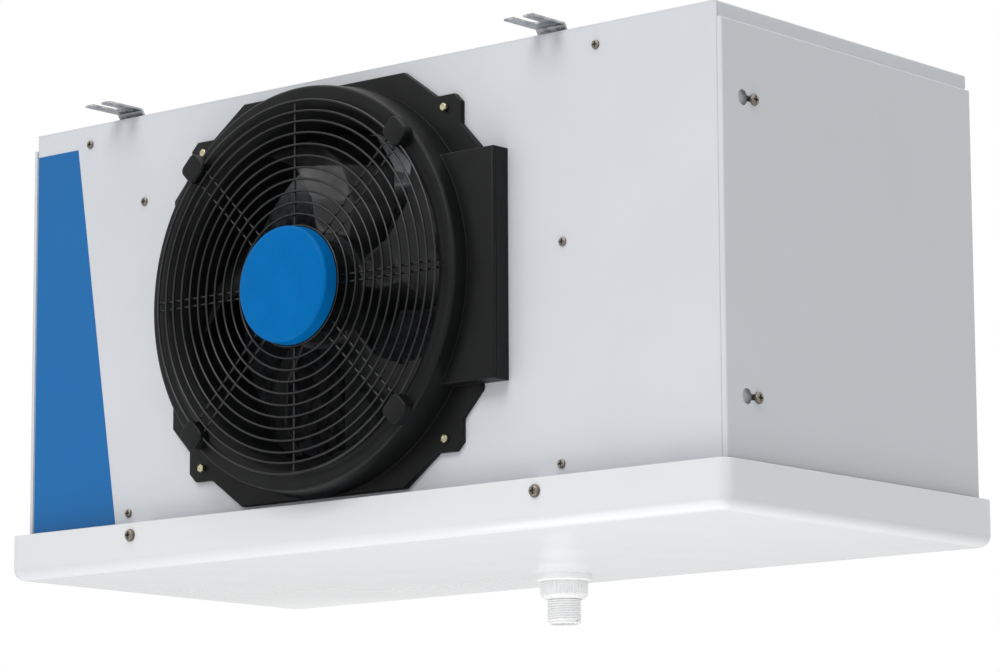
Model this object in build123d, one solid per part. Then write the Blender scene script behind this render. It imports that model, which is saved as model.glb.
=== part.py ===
"""Walk-in unit cooler: a ceiling-hung evaporator with one axial fan.

Millimetres, +Z up, +Y towards the air intake at the rear, +X to the right seen from the fan.
The origin is midway across the casing and midway along its depth, in the plane of the brackets' top faces.
"""
from build123d import *
from math import cos, hypot, pi, radians, sin, tan
import os

# ---- driving dimensions -------------------------------------------------------------------
# Casing
CASING_WIDTH = 844.0
CASING_HEIGHT = 400.0
CASING_DEPTH = 385.0
SHEET = 1.2                  # painted steel sheet of the casing
BEND = 2.0                   # inside of a bend to the outer face of a casing sheet
SEAM = 0.3                   # gap left where two casing sheets meet
FLANGE_DROP = 15.0           # side and rear turn-down of the top panel
FRONT_DROP = 28.0            # turn-down of the top panel behind the front panel
SIDE_RETURN = 60.0           # fold of the front panel along each side
FOOT_RETURN = 22.0           # fold of the front panel along its foot
COVER_DEPTH = 5.0            # how far a side cover stands proud of the casing
COVER_TRAVEL = 15.0          # rearward slide that brings the keyhole eyes over the screws

# Coil
LEFT_SERVICE = 160.0         # service space between the left side and the fan side of its coil end plate
RIGHT_SERVICE = 196.0        # the same on the right, wider for pipes and wiring
PLATE = 1.5                  # galvanised coil end plates
PLATE_FLANGE = 36.0          # outward fold of an end plate, front and rear
TUBE_R = 6.0
TUBE_WALL = 1.0
TUBE_PITCH = 50.0
TUBE_ROWS = 2
HEAD_ROOM = 30.0             # least height between the fins and the top of the casing
TUBE_FIT = 0.05              # radial gap between a tube and the collars it passes through
COIL_REAR_GAP = 8.0          # from the fins to the rear face of the casing
FIN_PITCH = 16.0
FIN_THICKNESS = 1.6
FIN_WEB = 1.5                # metal above and below a tube in the webs that join the fins
FIN_END_GAP = 1.0
COIL_FOOT = 12.0             # fins to the foot of the casing
TUBE_TAIL = 10.0             # straight tube outside an end plate
SUCTION_R = 11.0
LIQUID_R = 6.35
STUB = 50.0                  # pipe stubs behind the casing
STUB_START = 3.0             # full radius from here, just behind the grommet
STUB_STEP = 0.3              # the pipe inside the casing is this much less in radius

# Fan
FAN_SHIFT = 15.0             # fan axis to the left of the coil's middle
FAN_DROP = 3.0               # fan axis below the middle of the casing
THROAT_R = 157.0
MOULD = 3.0                  # wall of the black moulding
MOULD_PLATE = 6.0            # base plate of the moulding
FLAT = 187.0                 # half width of the base plate across its flats
LUG_PITCH = 303.0
RIM_R = 188.0                # outer edge of the front rim
RIM_REACH = 38.0             # front rim ahead of the casing
THROAT_REACH = 55.0          # throat behind the front panel
BOX_REACH = 21.4             # lead box moulded beside the fan
BOX_OUT = 220.0              # its far side from the fan axis
BOX_HEIGHT = 210.0
GUARD_REACH = 45.0           # guard wires ahead of the casing
WIRE = 2.4
WIRE_PITCH = 10.85
INNER_WIRE_R = 56.0
INNER_WIRES = 10
OUTER_WIRE_R = 173.2
OUTER_WIRE_GAP = 10.0
WIRE_SIDES = 40              # a guard ring is drawn with this many straight lengths
MOUNT_DISC_R = 49.0
CAP_R = 55.0
CAP_DEPTH = 15.0
BLADES = 5
BLADE_GAP = 4.0              # blade tip to throat
BLADE_THICKNESS = 2.4
BLADE_CHORD = (62.0, 110.0)  # at the hub and at the tip
BLADE_PITCH = (48.0, 24.0)   # degrees from the plane of the fan, at the hub and at the tip
BLADE_SWEEP = (4.0, 30.0)    # degrees ahead, at the hub and at the tip
BLADE_CAMBER = 7.0
ROTOR_R = 50.0
ROTOR_WALL = 4.0
ROTOR_FRONT = -12.0          # rotor shell from here, measured rearward from the front face
ROTOR_REAR = 50.0
HUB_WALL = 4.0
SHAFT_R = 5.0
RUNNING_FIT = 0.03           # radial, shaft in bearing
BEARING_R = 11.0
BEARING_WIDTH = 8.0
AIR_GAP = 1.5                # stator to rotor shell

# Drip pan
PAN_SIDE = 16.0              # overhang past the casing, each side
PAN_FRONT = 17.0
PAN_REAR = 10.0
PAN_DEPTH = 44.0
PAN_WALL = 3.0
PAN_CORNER_R = 14.0
PAN_EDGE_R = 12.0
PAN_STRIP = 7.0              # width of the side strips that the pan is drawn in
PAN_GAP = 1.0                # foot of the casing above the pan's rim
PAN_SCREW_DROP = 12.0
TAB_WIDTH = 24.0
TAB_GAP = 1.6                # pan wall to catch tab
TAB_DROP = 20.0
NUT = 4.0
HINGE_IN = 172.0             # each hinge from the side of the casing
HINGE_R = 4.0
HINGE_PIN_R = 1.6
HINGE_LEAF = 1.5
KNUCKLE = 12.0
KNUCKLE_GAP = 0.3

# Drain
DRAIN_BACK = 305.0           # from the front face
DRAIN_R = 16.6               # over the thread of the spigot
DRAIN_BODY_R = 16.2          # under the nut, the washer and the pan's floor
DRAIN_BORE_R = 13.0
DRAIN_FLANGE_R = 27.0
DRAIN_WASHER = 7.0
DRAIN_NUT_R = 23.2
DRAIN_NUT = 17.0
DRAIN_SPIGOT = 24.0
DRAIN_RIBS = 16

# Hanging brackets
BRACKET_RISE = 8.0           # bracket top above the casing
BRACKET_SHEET = 2.0
BRACKET_WIDTH = 33.0
BRACKET_REACH = 42.0         # past the casing, front and rear
BRACKET_FOOT = 45.0
BRACKET_SETBACK = 6.0
SLOT_WIDTH = 11.0
SLOT_LENGTH = 28.0

# Small screws and holes
HOLE_GAP = 0.25              # radial gap of a screw in its hole
M4_R, M5_R, M6_R = 2.0, 2.5, 3.0
COVER_SCREW_BACK = 45.0
COVER_SCREW_UP = (57.0, CASING_HEIGHT - 82)
EYE_R = 7.0
COVER_HEAD_R = 5.2

# Side decal
DECAL_FOOT = 113.0           # its width at the foot
DECAL_TOP = 56.0             # and at its head
DECAL_HEAD = 22.0            # its head below the top of the casing
DECAL_FOIL = 0.3

# ---- derived planes -----------------------------------------------------------------------
HALF_W = CASING_WIDTH / 2
Y_FRONT = -CASING_DEPTH / 2
Y_REAR = CASING_DEPTH / 2
Z_TOP = -BRACKET_RISE
Z_RIM = Z_TOP - CASING_HEIGHT             # rim of the pan
Z_FOOT = Z_RIM + PAN_GAP                  # foot of every casing sheet
LEFT_PLATE_X = LEFT_SERVICE - HALF_W      # fan side of each coil end plate
RIGHT_PLATE_X = HALF_W - RIGHT_SERVICE
FAN_X = (LEFT_PLATE_X + RIGHT_PLATE_X) / 2 - FAN_SHIFT
FAN_Z = Z_RIM + CASING_HEIGHT / 2 - FAN_DROP
Y_INSIDE = Y_FRONT + SHEET                # rear face of the front panel
DUCT_R = THROAT_R + MOULD
COIL_REAR = Y_REAR - COIL_REAR_GAP
COIL_FRONT = COIL_REAR - TUBE_PITCH * TUBE_ROWS
LEFT_OUT = LEFT_PLATE_X - PLATE           # outer faces of the coil end plates
RIGHT_OUT = RIGHT_PLATE_X + PLATE
TUBE_LOW = Z_FOOT + COIL_FOOT + TUBE_PITCH / 2
ROW_Y = [COIL_FRONT + TUBE_PITCH * (row + 0.5) for row in range(TUBE_ROWS)]
TUBE_LEVELS = int((CASING_HEIGHT - COIL_FOOT - HEAD_ROOM) // TUBE_PITCH)
LEVEL_Z = [TUBE_LOW + TUBE_PITCH * level for level in range(TUBE_LEVELS)]
PAN_FLOOR = Z_RIM - PAN_DEPTH
DRAIN_Y = Y_FRONT + DRAIN_BACK
HINGE_Y = Y_REAR + PAN_REAR + HINGE_R
HINGE_X = HALF_W - HINGE_IN
PAN_SCREW_X = (LEFT_PLATE_X - 7, RIGHT_PLATE_X + 4)
BRACKET_X = (LEFT_PLATE_X - 33, RIGHT_PLATE_X + 9)
PANEL_SCREWS = (                          # x and height above the rim of the pan
    (LEFT_PLATE_X - 84.7, CASING_HEIGHT - 19), (RIGHT_PLATE_X + 63, CASING_HEIGHT - 19),
    (LEFT_PLATE_X - 26.6, 12), (RIGHT_PLATE_X + 20.8, 12),
    (LEFT_PLATE_X - 9, CASING_HEIGHT - 86), (RIGHT_PLATE_X + 23.8, CASING_HEIGHT / 2 + 9))
LUG_AT = [(FAN_X + sx * LUG_PITCH / 2, FAN_Z + sz * LUG_PITCH / 2) for sx in (-1, 1) for sz in (-1, 1)]


# ---- helpers ------------------------------------------------------------------------------
def between(x0, x1, y0, y1, z0, z1):
    """A plain block between two corners."""
    return Pos((x0 + x1) / 2, (y0 + y1) / 2, (z0 + z1) / 2) * Box(abs(x1 - x0), abs(y1 - y0), abs(z1 - z0))


def wall(points, thickness, radius=0.0):
    """The section of a bent sheet that lies to the left of a line of points."""
    line = FilletPolyline(*points, radius=radius) if radius else Polyline(*points)
    return make_face(offset(line, amount=thickness, side=Side.LEFT, closed=True).edges())


def along_x(section, x0, x1):
    """Runs a section drawn in (y, z) from x0 to x1."""
    return Pos(x0, 0, 0) * extrude(Plane.YZ * section, x1 - x0)


def along_y(section, y0, y1):
    """Runs a section drawn in (x, z) from y0 rearward to y1."""
    return Pos(0, y0, 0) * extrude(Plane.XZ * section, -(y1 - y0))


def rod_x(radius, x0, x1, y, z):
    """A cylinder along X."""
    return Pos((x0 + x1) / 2, y, z) * Rot(0, 90, 0) * Cylinder(radius, abs(x1 - x0))


def rod_y(radius, y0, y1, x, z):
    """A cylinder along Y."""
    return Pos(x, (y0 + y1) / 2, z) * Rot(90, 0, 0) * Cylinder(radius, abs(y1 - y0))


def rod_z(radius, z0, z1, x, y):
    """A cylinder along Z."""
    return Pos(x, y, (z0 + z1) / 2) * Cylinder(radius, abs(z1 - z0))


def fan_turned(section):
    """Turns a section of (radius from the fan axis, distance behind the front face) about the fan axis."""
    return Pos(FAN_X, Y_FRONT, FAN_Z) * revolve(Plane.XY * section, Axis.Y)


def shell(points, thickness):
    """The section between a line of points and its parallel to the left, with mitred corners."""
    normals = []
    for (x0, y0), (x1, y1) in zip(points, points[1:]):
        length = hypot(x1 - x0, y1 - y0)
        normals.append(((y0 - y1) / length, (x1 - x0) / length))
    far = []
    for (x, y), (a, b), (c, d) in zip(points, normals[:1] + normals, normals + normals[-1:]):
        reach = thickness / (1 + a * c + b * d)
        far.append((x + reach * (a + c), y + reach * (b + d)))
    return turned_face(points + far[::-1])


def prism(direction, x, y, z, radius, behind, ahead, sides=8):
    """A regular prism along a direction, from behind a point to ahead of it; two corners lie on each cross axis."""
    return facing(direction, x, y, z) * Pos(0, 0, -behind) * extrude(RegularPolygon(radius, sides), behind + ahead)


def pan_head(radius, shank_r, length):
    """A low-headed screw, head seat at z = 0, head towards +Z and shank towards -Z."""
    rim, top = radius * 0.25, radius * 0.55
    crown = loft([Pos(0, 0, rim) * RegularPolygon(radius, 12), Pos(0, 0, top) * RegularPolygon(radius * 0.62, 12)],
                 ruled=True)
    return extrude(RegularPolygon(radius, 12), rim) + crown + extrude(RegularPolygon(shank_r, 8), -length)


def hex_head(across, height, shank_r, length):
    """A hexagon-headed screw, head seat at z = 0."""
    head = extrude(RegularPolygon(across / 2, 6, major_radius=False), height)
    return head + extrude(RegularPolygon(shank_r, 8), -length)


def facing(direction, x, y, z):
    """Puts a screw's head seat at a point, its head towards a direction."""
    return Plane(origin=(x, y, z), z_dir=direction).location


def turned_face(points):
    """A face inside a closed line of points."""
    return make_face(Polyline(*points, close=True))


def save(name, *shapes):
    """Writes one node."""
    solids = [solid for shape in shapes for solid in shape.solids()]
    export_step(Compound(children=solids) if len(solids) > 1 else solids[0], f"parts/{name}.step")


# ---- casing -------------------------------------------------------------------------------
def front_panel():
    top = Z_TOP - SHEET
    plan = wall([(-HALF_W, Y_FRONT + SIDE_RETURN), (-HALF_W, Y_FRONT), (HALF_W, Y_FRONT),
                 (HALF_W, Y_FRONT + SIDE_RETURN)], SHEET, BEND)
    panel = Pos(0, 0, Z_FOOT) * extrude(plan, top - Z_FOOT)
    for side in (-1, 1):                  # the side folds stop under the top panel's flange
        panel -= between(side * (HALF_W - 2 * BEND), side * (HALF_W + 1), Y_INSIDE + SEAM,
                         Y_FRONT + SIDE_RETURN + 1, Z_TOP - FLANGE_DROP - SEAM, top + 1)
    inner = HALF_W - SHEET - SEAM
    panel += between(-inner, inner, Y_INSIDE, Y_FRONT + FOOT_RETURN, Z_FOOT, Z_FOOT + SHEET)
    panel -= rod_y(DUCT_R + HOLE_GAP, Y_FRONT - 1, Y_INSIDE + 1, FAN_X, FAN_Z)
    for x, z in LUG_AT:
        panel -= prism((0, -1, 0), x, Y_FRONT, z, M5_R + HOLE_GAP, 2 * SHEET, 1)
    for x, up in PANEL_SCREWS:
        panel -= prism((0, -1, 0), x, Y_FRONT, Z_RIM + up, M4_R + HOLE_GAP, 2 * SHEET, 1)
    panel -= prism((0, -1, 0), LEAD_X, Y_FRONT, FAN_Z, LEAD_HOLE_R, 2 * SHEET, 1, 12)
    for side in (-1, 1):
        for up in COVER_SCREW_UP:
            panel -= prism((side, 0, 0), side * HALF_W, Y_FRONT + COVER_SCREW_BACK, Z_RIM + up,
                           M5_R + HOLE_GAP, 2 * SHEET, 1)
    return panel


def top_panel():
    arch = wall([(HALF_W, Z_TOP - FLANGE_DROP), (HALF_W, Z_TOP), (-HALF_W, Z_TOP),
                 (-HALF_W, Z_TOP - FLANGE_DROP)], SHEET, BEND)
    panel = along_y(arch, Y_FRONT, Y_REAR)
    corners = panel.edges().filter_by(Axis.X).group_by(Axis.Z)[0].sort_by(Axis.Y)[-2:]
    panel = fillet(corners, BEND * 2.5)
    panel -= between(-HALF_W - 1, HALF_W + 1, Y_FRONT - 1, Y_INSIDE + 2 * SEAM, Z_TOP - FLANGE_DROP - 1, Z_TOP - SHEET)
    inner = HALF_W - SHEET - BEND
    for y0, y1, drop in ((Y_INSIDE, Y_INSIDE + SHEET, FRONT_DROP), (Y_REAR - SHEET, Y_REAR, FLANGE_DROP)):
        panel += between(-inner, inner, y0, y1, Z_TOP - drop, Z_TOP - SHEET / 2)
    for x, up in PANEL_SCREWS:
        if CASING_HEIGHT - up < FRONT_DROP:
            panel -= prism((0, -1, 0), x, Y_INSIDE, Z_RIM + up, M4_R + HOLE_GAP, 2 * SHEET, 1)
    for x, y in BRACKET_BOLTS:
        panel -= prism((0, 0, 1), x, y, Z_TOP, M6_R + HOLE_GAP, 2 * SHEET, 1)
    return panel


def end_plate(side, x_fan):
    """A coil end plate with flanges folded away from the fan; side is -1 on the left, 1 on the right."""
    y0, y1 = Y_INSIDE, Y_REAR - SHEET
    x_tip = x_fan + side * PLATE_FLANGE
    path = [(x_tip, y1), (x_fan, y1), (x_fan, y0), (x_tip, y0)]
    plan = wall(path if side > 0 else path[::-1], PLATE, BEND)
    low, high = Z_FOOT + SHEET + SEAM, Z_TOP - SHEET - SEAM
    plate = Pos(0, 0, low) * extrude(plan, high - low)
    notch = sorted((x_fan - side, x_tip + side))
    plate -= between(*notch, y0 - 1, y0 + SHEET + SEAM, Z_TOP - FRONT_DROP - SEAM, high + 1)
    for y in ROW_Y:
        for z in LEVEL_Z:
            plate -= prism((1, 0, 0), x_fan, y, z, TUBE_R + TUBE_FIT, 2 * PLATE, 2 * PLATE, 12)
    for x, up in PANEL_SCREWS:
        if CASING_HEIGHT - up > FRONT_DROP and x * side > 0:
            plate -= prism((0, -1, 0), x, y0, Z_RIM + up, M4_R + HOLE_GAP, 2 * PLATE, 1)
    for z in REAR_SCREW_Z:
        plate -= prism((0, 1, 0), x_fan + side * PLATE_FLANGE / 2, y1, z, M4_R + HOLE_GAP, 2 * PLATE, 1)
    if side > 0:
        plate -= prism((1, 0, 0), x_fan, LEAD_Y, FAN_Z, LEAD_HOLE_R, 1, 2 * PLATE, 12)
    return plate


def rear_plate(side, x_fan):
    """Closes one service space at the rear, with a fold forward inside the side cover."""
    x_edge = side * (HALF_W - SHEET - SEAM)
    path = [(x_fan, Y_REAR), (x_edge, Y_REAR), (x_edge, Y_REAR - REAR_FOLD)]
    plan = wall(path if side < 0 else path[::-1], SHEET, BEND)
    low, high = Z_FOOT, Z_TOP - FLANGE_DROP - SEAM
    plate = Pos(0, 0, low) * extrude(plan, high - low)
    for z in REAR_SCREW_Z:
        plate -= prism((0, 1, 0), x_fan + side * PLATE_FLANGE / 2, Y_REAR, z, M4_R + HOLE_GAP, 2 * SHEET, 1)
    if side > 0:
        for x, z, radius in PIPE_EXITS:
            plate -= prism((0, 1, 0), x, Y_REAR, z, radius + GROMMET, 2 * SHEET, 1, 12)
    return plate


def side_cover(side):
    """A shallow tray over one service space, with two keyholes near its front edge."""
    inner_x, outer_x = HALF_W + SEAM, HALF_W + COVER_DEPTH
    low, high = Z_FOOT, Z_TOP - FLANGE_DROP
    tray = between(inner_x, outer_x, Y_FRONT, Y_REAR, low, high)
    tray = fillet(tray.faces().sort_by(Axis.X)[-1].edges(), BEND)
    tray -= between(inner_x - 1, outer_x - SHEET, Y_FRONT + SHEET, Y_REAR - SHEET, low + SHEET, high - SHEET)
    for up in COVER_SCREW_UP:
        z, y = Z_RIM + up, Y_FRONT + COVER_SCREW_BACK
        tray -= rod_x(M5_R + HOLE_GAP, outer_x - 2 * SHEET, outer_x + 1, y, z)
        tray -= rod_x(EYE_R, outer_x - 2 * SHEET, outer_x + 1, y - COVER_TRAVEL, z)
        neck = M5_R + HOLE_GAP
        tray -= between(outer_x - 2 * SHEET, outer_x + 1, y - COVER_TRAVEL, y, z - neck, z + neck)
    return tray if side > 0 else mirror(tray, Plane.YZ)


def cover_screws():
    screw = pan_head(COVER_HEAD_R, M5_R, COVER_DEPTH + 8)
    seat = HALF_W + COVER_DEPTH + SEAM / 2
    return [facing((side, 0, 0), side * seat, Y_FRONT + COVER_SCREW_BACK, Z_RIM + up) * screw
            for side in (-1, 1) for up in COVER_SCREW_UP]


def panel_screws():
    screw = pan_head(M4_R * 2, M4_R, 10)
    return [facing((0, -1, 0), x, Y_FRONT, Z_RIM + up) * screw for x, up in PANEL_SCREWS]


def rear_screws():
    screw = pan_head(M4_R * 2, M4_R, 8)
    return [facing((0, 1, 0), x_fan + side * PLATE_FLANGE / 2, Y_REAR, z) * screw
            for side, x_fan in ((-1, LEFT_PLATE_X), (1, RIGHT_PLATE_X)) for z in REAR_SCREW_Z]


# ---- hanging brackets ---------------------------------------------------------------------
def hanging_brackets(end):
    """The pair of joggled brackets at the front (end = -1) or the rear (end = 1)."""
    edge, back = CASING_DEPTH / 2, BRACKET_SETBACK
    joggle = wall([(edge - back - BRACKET_FOOT, Z_TOP), (edge - back, Z_TOP), (edge - back + BRACKET_RISE / 2, -BRACKET_SHEET),
                   (edge + BRACKET_REACH, -BRACKET_SHEET)], BRACKET_SHEET)
    brackets = []
    for x in BRACKET_X:
        bracket = along_x(joggle, x - BRACKET_WIDTH / 2, x + BRACKET_WIDTH / 2)
        tip = edge + BRACKET_REACH
        bracket -= between(x - SLOT_WIDTH / 2, x + SLOT_WIDTH / 2, SLOT_END, tip + 1, -2 * BRACKET_SHEET, 1)
        bracket -= rod_z(SLOT_WIDTH / 2, -2 * BRACKET_SHEET, 1, x, SLOT_END)
        for bolt_x, bolt_y in BRACKET_BOLTS:
            if bolt_y > 0 and abs(bolt_x - x) < BRACKET_WIDTH:
                bracket -= prism((0, 0, 1), bolt_x, bolt_y, Z_TOP, M6_R + HOLE_GAP, 1, 2 * BRACKET_SHEET)
        brackets.append(bracket if end > 0 else mirror(bracket, Plane.XZ))
    return brackets


def bracket_screws():
    screw = hex_head(10, 4, M6_R, 12)
    return [Pos(x, y, Z_TOP + BRACKET_SHEET) * screw for x, y in BRACKET_BOLTS]


# ---- fan moulding and guard ---------------------------------------------------------------
def base_outline():
    """The base plate: an octagon with a lug on each slanted side."""
    lug = LUG_PITCH / 2
    quarter = [(FLAT * 0.525, FLAT), (lug - 11, lug + 12), (lug + 10, lug + 12), (lug + 18, lug + 4),
               (lug + 18, lug - 17), (FLAT, FLAT * 0.575)]
    points = []
    for sx, sz in ((1, 1), (1, -1), (-1, -1), (-1, 1)):
        corner = [(sx * x, sz * z) for x, z in quarter]
        points += corner if sx * sz > 0 else corner[::-1]
    return make_face(Polyline(*points, close=True))


def ring_section():
    """Throat, bell mouth, front rim and outer cone of the moulding."""
    mouth, lip = 14, MOULD * 0.9
    bell = [(THROAT_R + mouth * (1 - cos(radians(turn))), -RIM_REACH / 2 * (1 + sin(radians(turn))))
            for turn in (0, 30, 60, 90)]
    return shell([(THROAT_R, THROAT_REACH), *bell, (RIM_R - lip, -RIM_REACH), (RIM_R + 0.1 * lip, lip - RIM_REACH),
                  (RIM_R + 4, -MOULD_PLATE / 2)], MOULD)


def fan_shroud():
    plate = Pos(FAN_X, Y_FRONT, FAN_Z) * extrude(Plane.XZ * base_outline(), MOULD_PLATE)
    box_in = RIM_R * 0.8
    box = between(FAN_X + box_in, FAN_X + BOX_OUT, Y_FRONT - BOX_REACH, Y_FRONT,
                  FAN_Z - BOX_HEIGHT / 2, FAN_Z + BOX_HEIGHT / 2)
    box = chamfer(box.faces().sort_by(Axis.Y)[0].edges(), MOULD / 2)
    box -= rod_y(RIM_R + 1, Y_FRONT - BOX_REACH - 1, Y_FRONT + 1, FAN_X, FAN_Z)
    mould = plate + box + fan_turned(ring_section())
    mould -= rod_y(THROAT_R, Y_FRONT - RIM_REACH / 2, Y_FRONT + 1, FAN_X, FAN_Z)
    hollow = between(FAN_X + box_in, FAN_X + BOX_OUT - MOULD, Y_FRONT - BOX_REACH + MOULD, Y_FRONT + 1,
                     FAN_Z - BOX_HEIGHT / 2 + MOULD, FAN_Z + BOX_HEIGHT / 2 - MOULD)
    mould -= hollow - rod_y(RIM_R + 4 + MOULD, Y_FRONT - BOX_REACH, Y_FRONT + 2, FAN_X, FAN_Z)
    for x, z in LUG_AT:
        mould -= prism((0, -1, 0), x, Y_FRONT, z, M5_R + HOLE_GAP, 1, MOULD_PLATE + 1)
    return mould


def lug_screws():
    screw = hex_head(8, 4, M5_R, 14)
    return [facing((0, -1, 0), x, Y_FRONT - MOULD_PLATE, z) * screw for x, z in LUG_AT]


def guard_ring(radius):
    """One ring of the guard in straight lengths, each spoke crossing the middle of a length."""
    outer, inner = (RegularPolygon(radius + step, WIRE_SIDES, major_radius=False, rotation=180 / WIRE_SIDES)
                    for step in (WIRE / 2, -WIRE / 2))
    return extrude(Plane.XZ * (outer - inner), WIRE / 2, both=True)


def fan_guard():
    """Concentric wires welded to radial wires behind them."""
    radii = [INNER_WIRE_R + WIRE_PITCH * turn for turn in range(INNER_WIRES)]
    rings = [guard_ring(radius) for radius in (*radii, OUTER_WIRE_R - OUTER_WIRE_GAP, OUTER_WIRE_R)]
    start, sink = MOUNT_DISC_R * 0.8, 0.2
    length = OUTER_WIRE_R + WIRE / 2 - start
    bars = []
    for angle, apart in SPOKES:
        for shift in ((-apart / 2, apart / 2) if apart else (0,)):
            bar = Pos(start + length / 2, WIRE - sink / 2, shift) * Box(length, WIRE + sink, WIRE)
            bars.append(Rot(0, -angle, 0) * bar)
    return Pos(FAN_X, Y_FRONT - GUARD_REACH, FAN_Z) * rings[0].fuse(*rings[1:], *bars)


def motor_mount_plate():
    """The pressed disc behind the guard's radial wires that carries the motor."""
    front = Y_FRONT - GUARD_REACH + 1.5 * WIRE
    return rod_y(MOUNT_DISC_R, front, front + 2, FAN_X, FAN_Z)


def guard_clips():
    """Moulded clips that hold the outer wire and the ends of the radial wires on the rim."""
    clips = []
    for angle in (45, 135, 225, 315):
        clip = between(OUTER_WIRE_R - 5, RIM_R + 2, -GUARD_REACH - WIRE / 2 - MOULD, -RIM_REACH, -12, 12)
        clip = chamfer(clip.faces().sort_by(Axis.Y)[0].edges(), 1.5)
        clip -= between(OUTER_WIRE_R - 6, OUTER_WIRE_R + WIRE / 2, -GUARD_REACH - WIRE / 2, 1 - RIM_REACH, -14, 14)
        clips.append(Pos(FAN_X, Y_FRONT, FAN_Z) * Rot(0, -angle, 0) * clip)
    return clips


def hub_cap():
    """The domed cover in front of the motor, hollow behind."""
    back = -GUARD_REACH - WIRE / 2
    face = back - CAP_DEPTH
    shell = fan_turned(turned_face([
        (0, back), (CAP_R, back), (CAP_R - 1.5, face + 2.6), (CAP_R - 5, face + 0.4), (0, face - 1)]))
    return shell - rod_y(CAP_R - MOULD, Y_FRONT + back - CAP_DEPTH + MOULD, Y_FRONT + back + 1, FAN_X, FAN_Z)


# ---- motor and impeller -------------------------------------------------------------------
STATOR_FRONT = -GUARD_REACH + 1.5 * WIRE + 2
BEARING_SEATS = (STATOR_FRONT + 4, ROTOR_REAR - ROTOR_WALL - 12 - BEARING_WIDTH)


def motor_stator():
    core_r = ROTOR_R - ROTOR_WALL - AIR_GAP
    core_end = ROTOR_REAR - ROTOR_WALL - 8
    body = fan_turned(turned_face([
        (0, STATOR_FRONT), (ROTOR_R - 2, STATOR_FRONT), (ROTOR_R - 2, ROTOR_FRONT - 3), (core_r, ROTOR_FRONT - 3),
        (core_r, core_end), (0, core_end)]))
    body -= rod_y(SHAFT_R + 2, Y_FRONT + STATOR_FRONT - 1, Y_FRONT + core_end + 1, FAN_X, FAN_Z)
    body -= rod_y(BEARING_R, Y_FRONT + STATOR_FRONT - 1, Y_FRONT + BEARING_SEATS[0] + BEARING_WIDTH, FAN_X, FAN_Z)
    body -= rod_y(BEARING_R, Y_FRONT + BEARING_SEATS[1], Y_FRONT + core_end + 1, FAN_X, FAN_Z)
    return body


def motor_bearings():
    ring = Circle(BEARING_R) - Circle(SHAFT_R + RUNNING_FIT)
    return [Pos(FAN_X, Y_FRONT + start, FAN_Z) * extrude(Plane.XZ * ring, -BEARING_WIDTH) for start in BEARING_SEATS]


def motor_shaft():
    return rod_y(SHAFT_R, Y_FRONT + STATOR_FRONT + 1, Y_FRONT + ROTOR_REAR - ROTOR_WALL, FAN_X, FAN_Z)


def rotor_shell():
    inner, floor = ROTOR_R - ROTOR_WALL, ROTOR_REAR - ROTOR_WALL
    return fan_turned(turned_face([(0, ROTOR_REAR), (ROTOR_R, ROTOR_REAR), (ROTOR_R, ROTOR_FRONT),
                                     (inner, ROTOR_FRONT), (inner, floor), (0, floor)]))


def impeller():
    """A hub band with swept, twisted blades."""
    hub_r = ROTOR_R + HUB_WALL
    hub = fan_turned(turned_face([(ROTOR_R, ROTOR_FRONT + 4), (hub_r, ROTOR_FRONT + 4), (hub_r, ROTOR_REAR - 6),
                                    (ROTOR_R, ROTOR_REAR - 6)]))
    wheel = hub
    for turn in range(BLADES):
        wheel += Pos(FAN_X, Y_FRONT + (ROTOR_FRONT + ROTOR_REAR) / 2, FAN_Z) * Rot(0, 360 / BLADES * turn, 0) * blade()
    return wheel & rod_y(THROAT_R - BLADE_GAP, Y_FRONT - GUARD_REACH, Y_FRONT + 2 * THROAT_REACH, FAN_X, FAN_Z)


def blade():
    """One blade ruled between bent sections; they turn flatter and sweep forward from the hub to the tip."""
    hub_r, tip_r = ROTOR_R + 0.2, THROAT_R
    half_thick = BLADE_THICKNESS / 2
    sections = []
    for share in (0, 1 / 3, 2 / 3, 1):
        radius = hub_r + (tip_r - hub_r) * share
        half = (BLADE_CHORD[0] + (BLADE_CHORD[1] - BLADE_CHORD[0]) * share) / 2
        pitch = BLADE_PITCH[0] + (BLADE_PITCH[1] - BLADE_PITCH[0]) * share
        ahead = radians(BLADE_SWEEP[0] + (BLADE_SWEEP[1] - BLADE_SWEEP[0]) * share ** 2)
        station = Plane(origin=(radius * cos(ahead), 0, radius * sin(ahead)), x_dir=(-sin(ahead), 0, cos(ahead)),
                        z_dir=(cos(ahead), 0, sin(ahead)))
        sections.append(station * Rot(0, 0, pitch) * turned_face([
            (-half, -half_thick), (0, BLADE_CAMBER - half_thick), (half, -half_thick), (half, half_thick),
            (0, BLADE_CAMBER + half_thick), (-half, half_thick)]))
    return loft(sections, ruled=True)


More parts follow.
